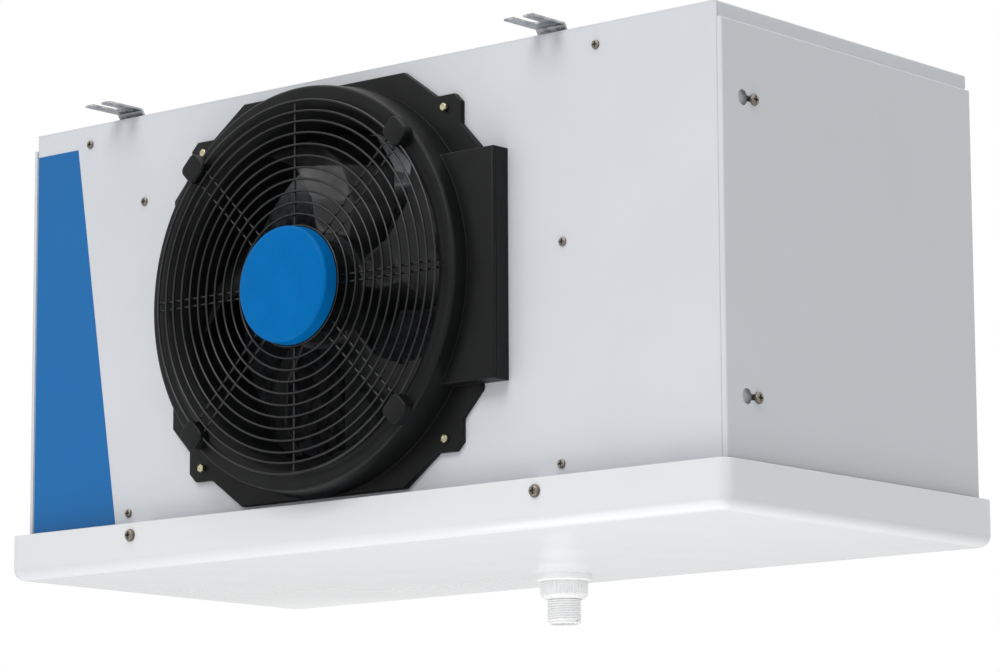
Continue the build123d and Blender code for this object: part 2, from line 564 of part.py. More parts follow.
# ---- coil ---------------------------------------------------------------------------------
def fin_pack():
    """The finned block: upright fins joined by a web along each level of tubes, open between for the air."""
    x0, x1 = LEFT_PLATE_X + FIN_END_GAP, RIGHT_PLATE_X - FIN_END_GAP
    low = Z_FOOT + COIL_FOOT
    high = low + TUBE_PITCH * TUBE_LEVELS
    count = round((x1 - x0 - FIN_THICKNESS) / FIN_PITCH)
    pitch = (x1 - x0 - FIN_THICKNESS) / count
    web = TUBE_R + TUBE_FIT + FIN_WEB
    levels = [low - 1] + [z + step for z in LEVEL_Z for step in (-web, web)] + [high + 1]
    windows = [Pos(x0 + FIN_THICKNESS / 2 + pitch * (fin + 0.5), (bottom + top) / 2)
               * Rectangle(pitch - FIN_THICKNESS, top - bottom)
               for fin in range(count) for bottom, top in zip(levels[::2], levels[1::2])]
    face = Pos((x0 + x1) / 2, (low + high) / 2) * Rectangle(x1 - x0, high - low) - windows
    tubes = [prism((1, 0, 0), x0, y, z, TUBE_R + TUBE_FIT, 1, x1 - x0 + 1, 12) for y in ROW_Y for z in LEVEL_Z]
    return along_y(face, COIL_FRONT, COIL_REAR) - tubes


def coil_tubes():
    ring = RegularPolygon(TUBE_R, 12) - RegularPolygon(TUBE_R - TUBE_WALL, 12)
    start = LEFT_OUT - TUBE_TAIL
    tube = extrude(ring, RIGHT_OUT + TUBE_TAIL - start)
    return [facing((1, 0, 0), start, y, z) * tube for y in ROW_Y for z in LEVEL_Z]


def return_bend(x, side, start, finish):
    """A U-bend outside an end plate from one tube end to the next, in short straight lengths."""
    (y0, z0), (y1, z1) = start, finish
    bend_r = TUBE_PITCH / 2
    path = [(x, y0, z0)]
    for turn in range(15, 180, 30):
        out = side * bend_r / cos(radians(15)) * sin(radians(turn))
        share = (1 - cos(radians(turn)) / cos(radians(15))) / 2
        path.append((x + out, y0 + (y1 - y0) * share, z0 + (z1 - z0) * share))
    path.append((x, y1, z1))
    end = Plane(origin=(x, y0, z0), z_dir=(side, 0, 0)) * RegularPolygon(TUBE_R, 8)
    return sweep(end, path=Polyline(*path), transition=Transition.RIGHT)


def left_return_bends():
    return [return_bend(LEFT_OUT - TUBE_TAIL, -1, (ROW_Y[0], z), (ROW_Y[1], z)) for z in LEVEL_Z]


def right_return_bends():
    bends = []
    for level in range(TUBE_LEVELS - 1):
        y = ROW_Y[(level + 1) % TUBE_ROWS]
        bends.append(return_bend(RIGHT_OUT + TUBE_TAIL, 1, (y, LEVEL_Z[level]), (y, LEVEL_Z[level + 1])))
    return bends


def pipe_run(radius, y, z, out):
    """A pipe from a tube end, round one bend and out through the rear plate, to a stub of full radius."""
    x0, x1 = RIGHT_OUT + TUBE_TAIL, RIGHT_OUT + TUBE_TAIL + out
    bend_r = 2.5 * radius
    path = [(x0, y, z)]
    for turn in (15, 45, 75):
        reach = bend_r / cos(radians(15))
        path.append((x1 - bend_r + reach * sin(radians(turn)), y + bend_r - reach * cos(radians(turn)), z))
    path.append((x1, Y_REAR + STUB - 5, z))
    end = Plane(origin=(x0, y, z), z_dir=(1, 0, 0)) * RegularPolygon(radius - STUB_STEP, 12)
    pipe = sweep(end, path=Polyline(*path), transition=Transition.RIGHT)
    return pipe + rod_y(radius, Y_REAR + STUB_START, Y_REAR + STUB, x1, z)


# ---- fan lead and terminal box ------------------------------------------------------------
LEAD_R = 3.5
LEAD_X = FAN_X + (RIM_R + 2 * MOULD + BOX_OUT - MOULD) / 2      # middle of the lead box
LEAD_BACK = 55.0                                                # lead turns this far behind the front panel
LEAD_Y = Y_INSIDE + LEAD_BACK
LEAD_BEND = 0.45 * LEAD_BACK
GROMMET = 2.5                                                   # wall of a rubber grommet
LEAD_HOLE_R = LEAD_R + GROMMET
TBOX = (42.0, 80.0, 110.0)                                      # terminal box, out, deep, high
TBOX_WALL = 2.0
REAR_FOLD = 25.0
REAR_SCREW_Z = (Z_RIM + 60, Z_RIM + CASING_HEIGHT / 2, Z_RIM + CASING_HEIGHT - 60)
SUCTION_OUT, LIQUID_OUT = 60.0, 40.0
SUPPLY_X = HALF_W - 92
PIPE_EXITS = (
    (RIGHT_OUT + TUBE_TAIL + SUCTION_OUT, LEVEL_Z[-1], SUCTION_R),
    (RIGHT_OUT + TUBE_TAIL + LIQUID_OUT, LEVEL_Z[0], LIQUID_R),
    (SUPPLY_X, FAN_Z, LEAD_R + 1.5),
)
BOLT_SPAN = 24.0
SLOT_END = CASING_DEPTH / 2 + BRACKET_REACH - SLOT_LENGTH + SLOT_WIDTH / 2
BOLT_Y = CASING_DEPTH / 2 - BRACKET_SETBACK - 10
BRACKET_BOLTS = [(x, end * (BOLT_Y - back)) for x in BRACKET_X for end in (-1, 1) for back in (0, BOLT_SPAN)]


def fan_lead():
    """The motor's flexible lead, from the moulded box through the plenum into the terminal box."""
    start = (LEAD_X, Y_FRONT - BOX_REACH / 2, FAN_Z)
    path = FilletPolyline(start, (LEAD_X, LEAD_Y, FAN_Z), (RIGHT_OUT + 12, LEAD_Y, FAN_Z), radius=LEAD_BEND)
    return sweep(Plane(origin=start, z_dir=(0, 1, 0)) * RegularPolygon(LEAD_R, 12), path=path)


def grommet(radius, wall_thickness, bore):
    """A rubber ring round a hole in sheet, its axis along Z and the sheet's middle at z = 0."""
    half, lip = wall_thickness / 2, 1.5
    ring = Pos(0, 0, -half) * extrude(RegularPolygon(radius + GROMMET, 12), wall_thickness)
    for start in (-half - lip, half):
        ring += Pos(0, 0, start) * extrude(RegularPolygon(radius + GROMMET + lip, 12), lip)
    return ring - extrude(bore, half + lip + 1, both=True)


def pipe_grommets():
    """Grommets round the two pipes, and one with a free round bore for the supply cable."""
    rings = []
    for x, z, radius in PIPE_EXITS:
        bore = Circle(radius) if x == SUPPLY_X else RegularPolygon(radius, 12)
        rings.append(facing((0, 1, 0), x, Y_REAR - SHEET / 2, z) * grommet(radius, SHEET, bore))
    return rings


def lead_grommets():
    bore = RegularPolygon(LEAD_R, 12)
    return [facing((0, 1, 0), LEAD_X, Y_FRONT + SHEET / 2, FAN_Z) * grommet(LEAD_R, SHEET, bore),
            facing((1, 0, 0), RIGHT_PLATE_X + PLATE / 2, LEAD_Y, FAN_Z) * grommet(LEAD_R, PLATE, bore)]


def terminal_box():
    out, deep, high = TBOX
    x0 = RIGHT_OUT
    box = between(x0, x0 + out, LEAD_Y - deep / 2, LEAD_Y + deep / 2, FAN_Z - high / 2, FAN_Z + high / 2)
    box -= between(x0 + TBOX_WALL, x0 + out + 1, LEAD_Y - deep / 2 + TBOX_WALL, LEAD_Y + deep / 2 - TBOX_WALL,
                   FAN_Z - high / 2 + TBOX_WALL, FAN_Z + high / 2 - TBOX_WALL)
    return box - prism((1, 0, 0), x0, LEAD_Y, FAN_Z, LEAD_HOLE_R + 2, 1, TBOX_WALL + 1, 12)


def terminal_box_lid():
    out, deep, high = TBOX
    x0 = RIGHT_OUT + out
    lid = between(x0, x0 + 8, LEAD_Y - deep / 2, LEAD_Y + deep / 2, FAN_Z - high / 2, FAN_Z + high / 2)
    return chamfer(lid.faces().sort_by(Axis.X)[-1].edges(), 2)


def terminal_block():
    """A strip of terminals on the floor of the terminal box."""
    x0 = RIGHT_OUT + TBOX_WALL
    z0, ways, pitch = FAN_Z + 18, 4, 9.0
    strip = between(x0, x0 + 14, LEAD_Y - ways * pitch / 2, LEAD_Y + ways * pitch / 2, z0, z0 + 20)
    for way in range(1, ways):
        y = LEAD_Y + (way - ways / 2) * pitch
        strip -= between(x0 + 6, x0 + 15, y - 0.7, y + 0.7, z0 - 1, z0 + 21)
    return strip


# ---- drip pan -----------------------------------------------------------------------------
def drip_pan():
    """One moulding, drawn as four side strips and four plates of floor that touch.

    The plates meet beside the drain, so that none of them bends around the hole.
    """
    x, y0, y1 = HALF_W + PAN_SIDE, Y_FRONT - PAN_FRONT, Y_REAR + PAN_REAR
    tray = between(-x, x, y0, y1, PAN_FLOOR, Z_RIM)
    tray = fillet(tray.edges().filter_by(Axis.Z), PAN_CORNER_R)
    tray = fillet(tray.faces().sort_by(Axis.Z)[0].edges(), PAN_EDGE_R)
    inside = between(-x + PAN_WALL, x - PAN_WALL, y0 + PAN_WALL, y1 - PAN_WALL, PAN_FLOOR + PAN_WALL, Z_RIM + 20)
    inside = fillet(inside.edges().filter_by(Axis.Z), PAN_CORNER_R - PAN_WALL)
    inside = chamfer(inside.faces().sort_by(Axis.Z)[0].edges(), (PAN_EDGE_R - PAN_WALL) * 2 / 3)
    tray -= inside
    tray -= prism((0, 0, 1), 0, DRAIN_Y, PAN_FLOOR, DRAIN_R + HOLE_GAP, 1, PAN_WALL + 1, 16)
    for at in PAN_SCREW_X:
        tray -= prism((0, -1, 0), at, y0, Z_RIM - PAN_SCREW_DROP, M5_R + HOLE_GAP, PAN_WALL + 1, 1)
    in_x, in_y0, in_y1, beside = x - PAN_STRIP, y0 + PAN_STRIP, y1 - PAN_STRIP, DRAIN_R / 2
    strips = [(-x, -in_x, y0, y1), (in_x, x, y0, y1), (-in_x, in_x, y0, in_y0), (-in_x, in_x, in_y1, y1)]
    plates = [(-in_x, -beside, in_y0, in_y1), (-beside, beside, in_y0, in_y1), (beside, in_x, in_y0, in_y1)]
    return [tray & between(*part, PAN_FLOOR, Z_RIM) for part in strips + plates]


def pan_screws():
    seat = Y_FRONT - PAN_FRONT
    screw = pan_head(M5_R * 2, M5_R, 1 + PAN_WALL + TAB_GAP + PLATE + NUT + 1)
    washer = extrude(RegularPolygon(M5_R * 2.4, 12) - RegularPolygon(M5_R + HOLE_GAP, 8), 1)
    screws = []
    for x in PAN_SCREW_X:
        place = facing((0, -1, 0), x, seat, Z_RIM - PAN_SCREW_DROP)
        screws += [place * washer, place * Pos(0, 0, 1) * screw]
    return screws


def pan_nuts():
    """Nuts behind the catch tabs; slackened, they leave the tabs with the pan."""
    seat = Y_FRONT - PAN_FRONT + PAN_WALL + TAB_GAP + PLATE
    ring = RegularPolygon(4, 6, major_radius=False) - RegularPolygon(M5_R + RUNNING_FIT, 8)
    return [Pos(x, seat, Z_RIM - PAN_SCREW_DROP) * extrude(Plane.XZ * ring, -NUT) for x in PAN_SCREW_X]


def pan_catch_tabs():
    """Slotted tabs under the front panel; the pan's screws drop out of their open slots."""
    top, face = Z_FOOT, Y_FRONT - PAN_FRONT + PAN_WALL + TAB_GAP
    bend = wall([(Y_FRONT + FOOT_RETURN - 2, top), (face, top), (face, Z_RIM - TAB_DROP)], PLATE, BEND)
    tabs = []
    for x in PAN_SCREW_X:
        tab = along_x(bend, x - TAB_WIDTH / 2, x + TAB_WIDTH / 2)
        slot = M5_R + 2 * HOLE_GAP
        z = Z_RIM - PAN_SCREW_DROP
        tab -= between(x - slot, x + slot, face - 1, face + 2 * PLATE, Z_RIM - TAB_DROP - 1, z)
        tab -= rod_y(slot, face - 1, face + 2 * PLATE, x, z)
        tabs.append(tab)
    return tabs


def pin_bore(x, half):
    """The bore of a knuckle; the pin's corners clear its flats as it turns."""
    return prism((1, 0, 0), x, HINGE_Y, Z_RIM, (HINGE_PIN_R + RUNNING_FIT) / cos(pi / 12), half, half, 12)


def knuckle(x0, x1):
    """One knuckle of a hinge, bored for the pin."""
    middle, half = (x0 + x1) / 2, (x1 - x0) / 2
    return prism((1, 0, 0), middle, HINGE_Y, Z_RIM, HINGE_R, half, half, 16) - pin_bore(middle, half + 1)


def hinge_fixed_leaves():
    """Leaves on the rear of the casing, each with two knuckles either side of the pan's."""
    leaves = []
    low = Z_RIM + HINGE_R - HINGE_LEAF
    width, free = 1.5 * KNUCKLE + KNUCKLE_GAP, KNUCKLE / 2 + KNUCKLE_GAP
    side = wall([(Y_REAR, low + 26), (Y_REAR, low), (HINGE_Y, low)], HINGE_LEAF)
    for x in (-HINGE_X, HINGE_X):
        leaf = along_x(side, x - width, x + width)
        leaf -= between(x - free, x + free, Y_REAR + PAN_REAR / 2, HINGE_Y + HINGE_R, low - 1, low + 2 * HINGE_LEAF)
        leaves.append(leaf + knuckle(x - width, x - free) + knuckle(x + free, x + width))
    return leaves


def hinge_pan_leaves():
    """Leaves on the rear wall of the pan, each with one knuckle."""
    face = Y_REAR + PAN_REAR
    leaves = []
    for x in (-HINGE_X, HINGE_X):
        leaf = between(x - KNUCKLE / 2, x + KNUCKLE / 2, face, face + HINGE_LEAF, Z_RIM - 28, Z_RIM)
        leaf -= pin_bore(x, KNUCKLE)
        leaves.append(leaf + knuckle(x - KNUCKLE / 2, x + KNUCKLE / 2))
    return leaves


def hinge_pins():
    reach = 1.5 * KNUCKLE + KNUCKLE_GAP + 1
    return [prism((1, 0, 0), x, HINGE_Y, Z_RIM, HINGE_PIN_R, reach, reach, 12) for x in (-HINGE_X, HINGE_X)]


# ---- drain --------------------------------------------------------------------------------
def drain_fitting():
    """A flanged tube through the pan's floor; its lower end is the threaded spigot."""
    low = PAN_FLOOR - DRAIN_WASHER - DRAIN_NUT - DRAIN_SPIGOT
    top = PAN_FLOOR + PAN_WALL + GASKET
    spigot = rod_z(DRAIN_R, low, low + DRAIN_SPIGOT, 0, DRAIN_Y)
    spigot = chamfer(spigot.edges().filter_by(GeomType.CIRCLE).group_by(Axis.Z)[0], 1)
    tube = spigot + rod_z(DRAIN_BODY_R, low + DRAIN_SPIGOT, top, 0, DRAIN_Y)
    tube += rod_z(DRAIN_FLANGE_R - 2, top, top + 3, 0, DRAIN_Y)
    return tube - rod_z(DRAIN_BORE_R, low - 1, top + 4, 0, DRAIN_Y)


GASKET = 1.5


def drain_ring(inner, outer, low, high):
    """A ring about the drain axis."""
    return rod_z(outer, low, high, 0, DRAIN_Y) - rod_z(inner, low - 1, high + 1, 0, DRAIN_Y)


def drain_gasket():
    floor = PAN_FLOOR + PAN_WALL
    return drain_ring(DRAIN_R + HOLE_GAP, DRAIN_FLANGE_R - 3, floor, floor + GASKET)


def drain_washer():
    washer = drain_ring(DRAIN_R + HOLE_GAP, DRAIN_FLANGE_R, PAN_FLOOR - DRAIN_WASHER, PAN_FLOOR)
    return chamfer(washer.edges().filter_by(GeomType.CIRCLE).group_by(Axis.Z)[0].sort_by(SortBy.RADIUS)[-1], 1.5)


def drain_nut():
    """A ring nut with grip ribs all round."""
    top = PAN_FLOOR - DRAIN_WASHER
    body = drain_ring(DRAIN_BODY_R + HOLE_GAP / 2, DRAIN_NUT_R - 1, top - DRAIN_NUT, top)
    body = chamfer(body.edges().filter_by(GeomType.CIRCLE).group_by(Axis.Z)[0].sort_by(SortBy.RADIUS)[-1], 2)
    for rib in range(DRAIN_RIBS):
        angle = 360 / DRAIN_RIBS * rib
        body += Pos(0, DRAIN_Y, top - DRAIN_NUT / 2 + 1) * Rot(0, 0, angle) * Pos(DRAIN_NUT_R - 1, 0, 0) * Box(2, 3.6, DRAIN_NUT - 4)
    return body


# ---- decal --------------------------------------------------------------------------------
def side_decal():
    """A plain blue foil, wider at its foot, along the left edge of the front panel."""
    left, low, high = -HALF_W + BEND, Z_FOOT + 2, Z_TOP - DECAL_HEAD
    shape = turned_face([(left, low), (left + DECAL_FOOT, low), (left + DECAL_TOP, high), (left, high)])
    foil = Pos(0, Y_FRONT, 0) * extrude(Plane.XZ * shape, DECAL_FOIL)
    for x, up in PANEL_SCREWS:
        foil -= prism((0, -1, 0), x, Y_FRONT, Z_RIM + up, 2 * M4_R + 1, 1, 1, 12)
    return foil


SPOKES = ((0, 7.0), (45, 12.6), (90, 0.0), (135, 12.6), (180, 7.0), (225, 12.6), (270, 0.0), (315, 12.6))

os.makedirs("parts", exist_ok=True)
save("front_panel", front_panel())
save("top_panel", top_panel())
save("left_end_plate", end_plate(-1, LEFT_PLATE_X))
save("right_end_plate", end_plate(1, RIGHT_PLATE_X))
save("left_rear_plate", rear_plate(-1, LEFT_PLATE_X))
save("right_rear_plate", rear_plate(1, RIGHT_PLATE_X))
save("left_cover", side_cover(-1))
save("right_cover", side_cover(1))
save("cover_screws", *cover_screws())
save("panel_screws", *panel_screws())
save("rear_screws", *rear_screws())
save("front_hanging_brackets", *hanging_brackets(-1))
save("rear_hanging_brackets", *hanging_brackets(1))
save("bracket_screws", *bracket_screws())
save("fan_shroud", fan_shroud())
save("lug_screws", *lug_screws())
save("fan_guard", fan_guard())
save("guard_clips", *guard_clips())
save("motor_mount_plate", motor_mount_plate())
save("hub_cap", hub_cap())
save("motor_stator", motor_stator())
save("motor_bearings", *motor_bearings())
save("motor_shaft", motor_shaft())
save("rotor_shell", rotor_shell())
save("impeller", impeller())
save("fin_pack", fin_pack())
save("coil_tubes", *coil_tubes())
save("left_return_bends", *left_return_bends())
save("right_return_bends", *right_return_bends())
save("suction_line", pipe_run(SUCTION_R, ROW_Y[TUBE_LEVELS % 2], LEVEL_Z[-1], SUCTION_OUT))
save("liquid_line", pipe_run(LIQUID_R, ROW_Y[0], LEVEL_Z[0], LIQUID_OUT))
save("pipe_grommets", *pipe_grommets())
save("fan_lead", fan_lead())
save("lead_grommets", *lead_grommets())
save("terminal_box", terminal_box())
save("terminal_box_lid", terminal_box_lid())
save("terminal_block", terminal_block())
save("drip_pan", *drip_pan())
save("pan_screws", *pan_screws())
save("pan_nuts", *pan_nuts())
save("pan_catch_tabs", *pan_catch_tabs())
save("hinge_fixed_leaves", *hinge_fixed_leaves())
save("hinge_pan_leaves", *hinge_pan_leaves())
save("hinge_pins", *hinge_pins())
save("drain_fitting", drain_fitting())
save("drain_gasket", drain_gasket())
save("drain_washer", drain_washer())
save("drain_nut", drain_nut())
save("side_decal", side_decal())
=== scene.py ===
"""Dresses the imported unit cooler: its mouldings, wires, fins, pan, screws, finishes and studio."""

from math import asin, cos, pi, radians, sin

import bmesh
import bpy
from bpy.props import FloatProperty, FloatVectorProperty, IntProperty, PointerProperty
from mathutils import Euler, Matrix, Vector


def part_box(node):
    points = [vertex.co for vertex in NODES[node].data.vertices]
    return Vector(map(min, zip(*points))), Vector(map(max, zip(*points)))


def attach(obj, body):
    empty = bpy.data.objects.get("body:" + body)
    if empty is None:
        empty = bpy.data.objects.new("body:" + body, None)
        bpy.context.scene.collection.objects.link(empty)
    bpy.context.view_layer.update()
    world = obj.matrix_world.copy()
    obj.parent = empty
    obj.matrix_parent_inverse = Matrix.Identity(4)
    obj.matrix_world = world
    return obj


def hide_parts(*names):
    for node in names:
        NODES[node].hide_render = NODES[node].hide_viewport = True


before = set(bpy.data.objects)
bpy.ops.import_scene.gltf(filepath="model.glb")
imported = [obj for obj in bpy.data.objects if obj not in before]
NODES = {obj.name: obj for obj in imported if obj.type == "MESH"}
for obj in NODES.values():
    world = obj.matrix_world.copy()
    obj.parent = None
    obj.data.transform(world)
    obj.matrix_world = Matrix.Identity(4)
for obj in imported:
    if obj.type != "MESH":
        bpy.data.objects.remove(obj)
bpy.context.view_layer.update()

bl_info = {
    "name": "Unit Cooler",
    "version": (1, 0, 0),
    "blender": (4, 5, 0),
    "location": "3D View > Sidebar > Unit Cooler",
    "description": "Mouldings, wires, fins and finishes of a ceiling-hung unit cooler",
    "category": "Object",
}

MM = 0.001

# Planes and centres that the pieces share, read from the imported parts
FACE_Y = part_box("front_panel")[0].y
CAP_LOW, CAP_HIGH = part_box("hub_cap")
FAN = Vector(((CAP_LOW.x + CAP_HIGH.x) / 2, FACE_Y, (CAP_LOW.z + CAP_HIGH.z) / 2))

# The guard's straight wires: the angle of each spoke in degrees and how far apart its two wires stand
SPOKES = ((0, 7.0 * MM), (45, 12.6 * MM), (90, 0), (135, 12.6 * MM), (180, 7.0 * MM), (225, 12.6 * MM), (270, 0),
          (315, 12.6 * MM))
CLIP_ANGLES = (45, 135, 225, 315)

# The studio: name, place, aim, side in metres and power in watts of each square lamp
LAMPS = (("key_lamp", (0.4, -3.2, 2.2), (0, 0, -0.25), 1.8, 50),
         ("side_lamp", (3.6, -0.6, 0.9), (0.3, 0, -0.25), 1.6, 2),
         ("low_lamp", (0.15, -0.3, -1.35), (0.1, 0, -0.45), 1.5, 7))
FLOOR_Z, FLOOR_HALF = -3.6, 80
CAMERA_AT, CAMERA_TILT, CAMERA_TURN, CAMERA_ROLL = (2.449, -2.8965, -0.860), 99.403, 40.04, -0.29
CAMERA_LENS = 144.9


# ---- colour and material helpers ------------------------------------------------------------
def linear(code):
    """A hex colour, as seen on a screen, in the linear values that shaders take."""
    parts = [int(code[i:i + 2], 16) / 255 for i in (1, 3, 5)]
    return tuple(c / 12.92 if c <= 0.04045 else ((c + 0.055) / 1.055) ** 2.4 for c in parts)


def colour_property(name, description, code):
    """A colour that a user may change."""
    return FloatVectorProperty(name=name, description=description, subtype="COLOR", size=3, min=0, max=1,
                               default=linear(code))


def length_property(name, description, value):
    """A length in metres that a user may change."""
    return FloatProperty(name=name, description=description, default=value, unit="LENGTH", precision=4)


def add_node(tree, kind, values=None, **settings):
    """Adds one shader node, sets its options, and sets or links its inputs."""
    node = tree.nodes.new(kind)
    for key, value in settings.items():
        setattr(node, key, value)
    for key, value in (values or {}).items():
        if isinstance(value, bpy.types.NodeSocket):
            tree.links.new(value, node.inputs[key])
        else:
            node.inputs[key].default_value = value
    return node


def shade(colour, factor):
    """A colour made darker or lighter."""
    return tuple(min(1.0, c * factor) for c in colour)


def make_material(name, colour, tones, gloss, slow, grain, depth, edge=0.0, metallic=0.0, coat=0.0, sheen=0.5,
                  stretch=(1, 1, 1), crystals=False):
    """A surface with a slow pattern in tone and gloss, and a fine grain in relief with softened edges.

    tones gives the darkest and lightest factor on the colour, gloss the roughness at those two, slow and grain
    the sizes of the two patterns in metres, depth the grain's relief and edge the rounding of sharp edges.
    """
    material = bpy.data.materials.new(name)
    material.use_nodes = True
    tree = material.node_tree
    shader = next(node for node in tree.nodes if node.type == "BSDF_PRINCIPLED")
    shader.inputs["Metallic"].default_value = metallic
    shader.inputs["Coat Weight"].default_value = coat
    shader.inputs["Coat Roughness"].default_value = 0.08
    shader.inputs["Specular IOR Level"].default_value = sheen
    place = add_node(tree, "ShaderNodeTexCoord").outputs["Object"]
    if crystals:
        cells = add_node(tree, "ShaderNodeTexVoronoi", {"Vector": place, "Scale": 1 / slow}).outputs["Color"]
        pattern = add_node(tree, "ShaderNodeSeparateColor", {"Color": cells}).outputs["Red"]
    else:
        pattern = add_node(tree, "ShaderNodeTexNoise", {"Vector": place, "Scale": 1 / slow, "Detail": 4.0,
                                                        "Roughness": 0.55}).outputs["Fac"]
    level = add_node(tree, "ShaderNodeMapRange", {"Value": pattern, "From Min": 0.3, "From Max": 0.7})
    tone = add_node(tree, "ShaderNodeMix", {"Factor": level.outputs["Result"], "A": (*shade(colour, tones[0]), 1),
                                            "B": (*shade(colour, tones[1]), 1)}, data_type="RGBA")
    rough = add_node(tree, "ShaderNodeMapRange", {"Value": level.outputs["Result"], "To Min": gloss[0],
                                                  "To Max": gloss[1]})
    tree.links.new(tone.outputs["Result"], shader.inputs["Base Color"])
    tree.links.new(rough.outputs["Result"], shader.inputs["Roughness"])
    drawn = add_node(tree, "ShaderNodeMapping", {"Vector": place, "Scale": stretch}).outputs["Vector"]
    height = add_node(tree, "ShaderNodeTexNoise", {"Vector": drawn, "Scale": 1 / grain, "Detail": 2.0})
    bump = add_node(tree, "ShaderNodeBump", {"Height": height.outputs["Fac"], "Distance": depth, "Strength": 1.0})
    if edge:
        soft = add_node(tree, "ShaderNodeBevel", {"Radius": edge}, samples=6)
        tree.links.new(soft.outputs["Normal"], bump.inputs["Normal"])
    tree.links.new(bump.outputs["Normal"], shader.inputs["Normal"])
    return material


# Each finish: the real material's name and how make_material draws it. Sizes are in millimetres of the real
# pattern; a finer one is drawn as coarse as it needs to show.
FINISHES = {
    # Polyester powder paint on steel: satin, a faint orange peel and slow handling marks
    "enamel": ("powder_enamel", dict(tones=(0.965, 1.0), gloss=(0.38, 0.5), slow=90 * MM, grain=1.6 * MM,
                                     depth=0.02 * MM, edge=0.6 * MM)),
    # Thermoformed glossy sheet: mirror-like with a slow waviness
    "pan": ("glossy_sheet", dict(tones=(0.985, 1.0), gloss=(0.1, 0.14), slow=80 * MM, grain=60 * MM,
                                 depth=0.06 * MM, coat=0.5)),
    # Hot-dip galvanised sheet: spangle crystals in tone and gloss
    "galvanised": ("galvanised_sheet", dict(tones=(0.74, 1.12), gloss=(0.34, 0.5), slow=7 * MM, grain=2 * MM,
                                            depth=0.015 * MM, edge=0.5 * MM, metallic=1.0, crystals=True)),
    # Rolled aluminium: lengthways draw lines and patches dulled by use
    "fins": ("rolled_aluminium", dict(tones=(0.93, 1.0), gloss=(0.5, 0.62), slow=50 * MM, grain=1.2 * MM,
                                      depth=0.01 * MM, metallic=1.0, stretch=(1, 1, 0.03))),
    # Drawn copper: bright pink metal under patches of brown tarnish
    "copper": ("drawn_copper", dict(tones=(0.45, 1.0), gloss=(0.42, 0.24), slow=14 * MM, grain=1.5 * MM,
                                    depth=0.01 * MM, edge=0.4 * MM, metallic=1.0)),
    # Glass-filled polyamide: dull black with spark-eroded grain (real grain 0.2 mm, drawn 0.6) and rubbed patches
    "moulding": ("black_polyamide", dict(tones=(0.75, 1.3), gloss=(0.5, 0.38), slow=30 * MM, grain=0.6 * MM,
                                         depth=0.02 * MM, edge=0.8 * MM, sheen=0.2)),
    # Steel wire dipped in black epoxy: glossy with small runs and beads
    "wire": ("dipped_wire", dict(tones=(0.8, 1.1), gloss=(0.14, 0.26), slow=5 * MM, grain=4 * MM,
                                 depth=0.05 * MM, coat=0.3, sheen=0.3)),
    # Blue moulded ABS: even colour, flow marks and a satin gloss
    "hub": ("blue_abs", dict(tones=(0.94, 1.04), gloss=(0.34, 0.44), slow=20 * MM, grain=1 * MM,
                             depth=0.01 * MM, sheen=0.06)),
    # Stove paint on pressed metal: black, dusty where air leaves it
    "fan": ("stove_black", dict(tones=(1.0, 1.9), gloss=(0.32, 0.5), slow=20 * MM, grain=1.4 * MM,
                                depth=0.02 * MM, edge=0.5 * MM)),
    # Zinc plate passivated to a pale yellow: clouded metal
    "zinc": ("passivated_zinc", dict(tones=(0.7, 1.1), gloss=(0.26, 0.42), slow=3 * MM, grain=3 * MM,
                                     depth=0.01 * MM, edge=0.2 * MM, metallic=1.0)),
    # Stainless screw steel: brownish grey, turned lay
    "screw": ("stainless_steel", dict(tones=(0.7, 1.1), gloss=(0.3, 0.45), slow=3 * MM, grain=0.8 * MM,
                                      depth=0.01 * MM, edge=0.2 * MM, metallic=1.0)),
    # Ground steel: bright with a fine lay along Y
    "steel": ("ground_steel", dict(tones=(0.92, 1.0), gloss=(0.24, 0.4), slow=6 * MM, grain=0.6 * MM,
                                   depth=0.008 * MM, edge=0.2 * MM, metallic=1.0, stretch=(1, 0.1, 1))),
    # Soft black rubber and cable sheath: matt with a bloom
    "rubber": ("black_rubber", dict(tones=(1.0, 1.8), gloss=(0.55, 0.7), slow=4 * MM, grain=0.8 * MM,
                                    depth=0.03 * MM, edge=0.3 * MM)),
    # White moulded polypropylene: soft gloss and faint flow marks
    "drain": ("white_polypropylene", dict(tones=(0.95, 1.0), gloss=(0.26, 0.38), slow=8 * MM, grain=0.9 * MM,
                                          depth=0.015 * MM, edge=0.25 * MM)),
    # Grey moulded ABS box: light grain
    "box": ("grey_abs", dict(tones=(0.96, 1.0), gloss=(0.44, 0.56), slow=20 * MM, grain=0.7 * MM,
                             depth=0.02 * MM, edge=0.5 * MM)),
    # Printed polyester foil under a clear laminate
    "foil": ("printed_foil", dict(tones=(0.95, 1.05), gloss=(0.3, 0.38), slow=160 * MM, grain=6 * MM,
                                  depth=0.01 * MM, sheen=0.3)),
}
MATERIALS = {}


def finish_of(key):
    """The material of a finish, made once from the user's colour."""
    if key not in MATERIALS:
        name, look = FINISHES[key]
        MATERIALS[key] = make_material(name, getattr(bpy.context.scene.cooler_finish, key), **look)
    return MATERIALS[key]


# The finish of each CAD node that is shown as it is
NODE_FINISH = {
    "enamel": ("front_panel", "top_panel", "left_rear_plate", "right_rear_plate", "left_cover", "right_cover"),
    "galvanised": ("left_end_plate", "right_end_plate", "front_hanging_brackets", "rear_hanging_brackets",
                   "pan_catch_tabs"),
    "steel": ("hinge_fixed_leaves", "hinge_pan_leaves", "hinge_pins", "motor_bearings", "motor_shaft"),
    "zinc": ("pan_nuts",),
    "copper": ("coil_tubes", "left_return_bends", "right_return_bends", "suction_line", "liquid_line"),
    "fan": ("motor_mount_plate", "motor_stator", "rotor_shell"),
    "rubber": ("pipe_grommets", "lead_grommets", "fan_lead", "drain_gasket"),
    "box": ("terminal_box", "terminal_box_lid", "terminal_block"),
    "foil": ("side_decal",),
    "drain": ("drain_washer",),
}


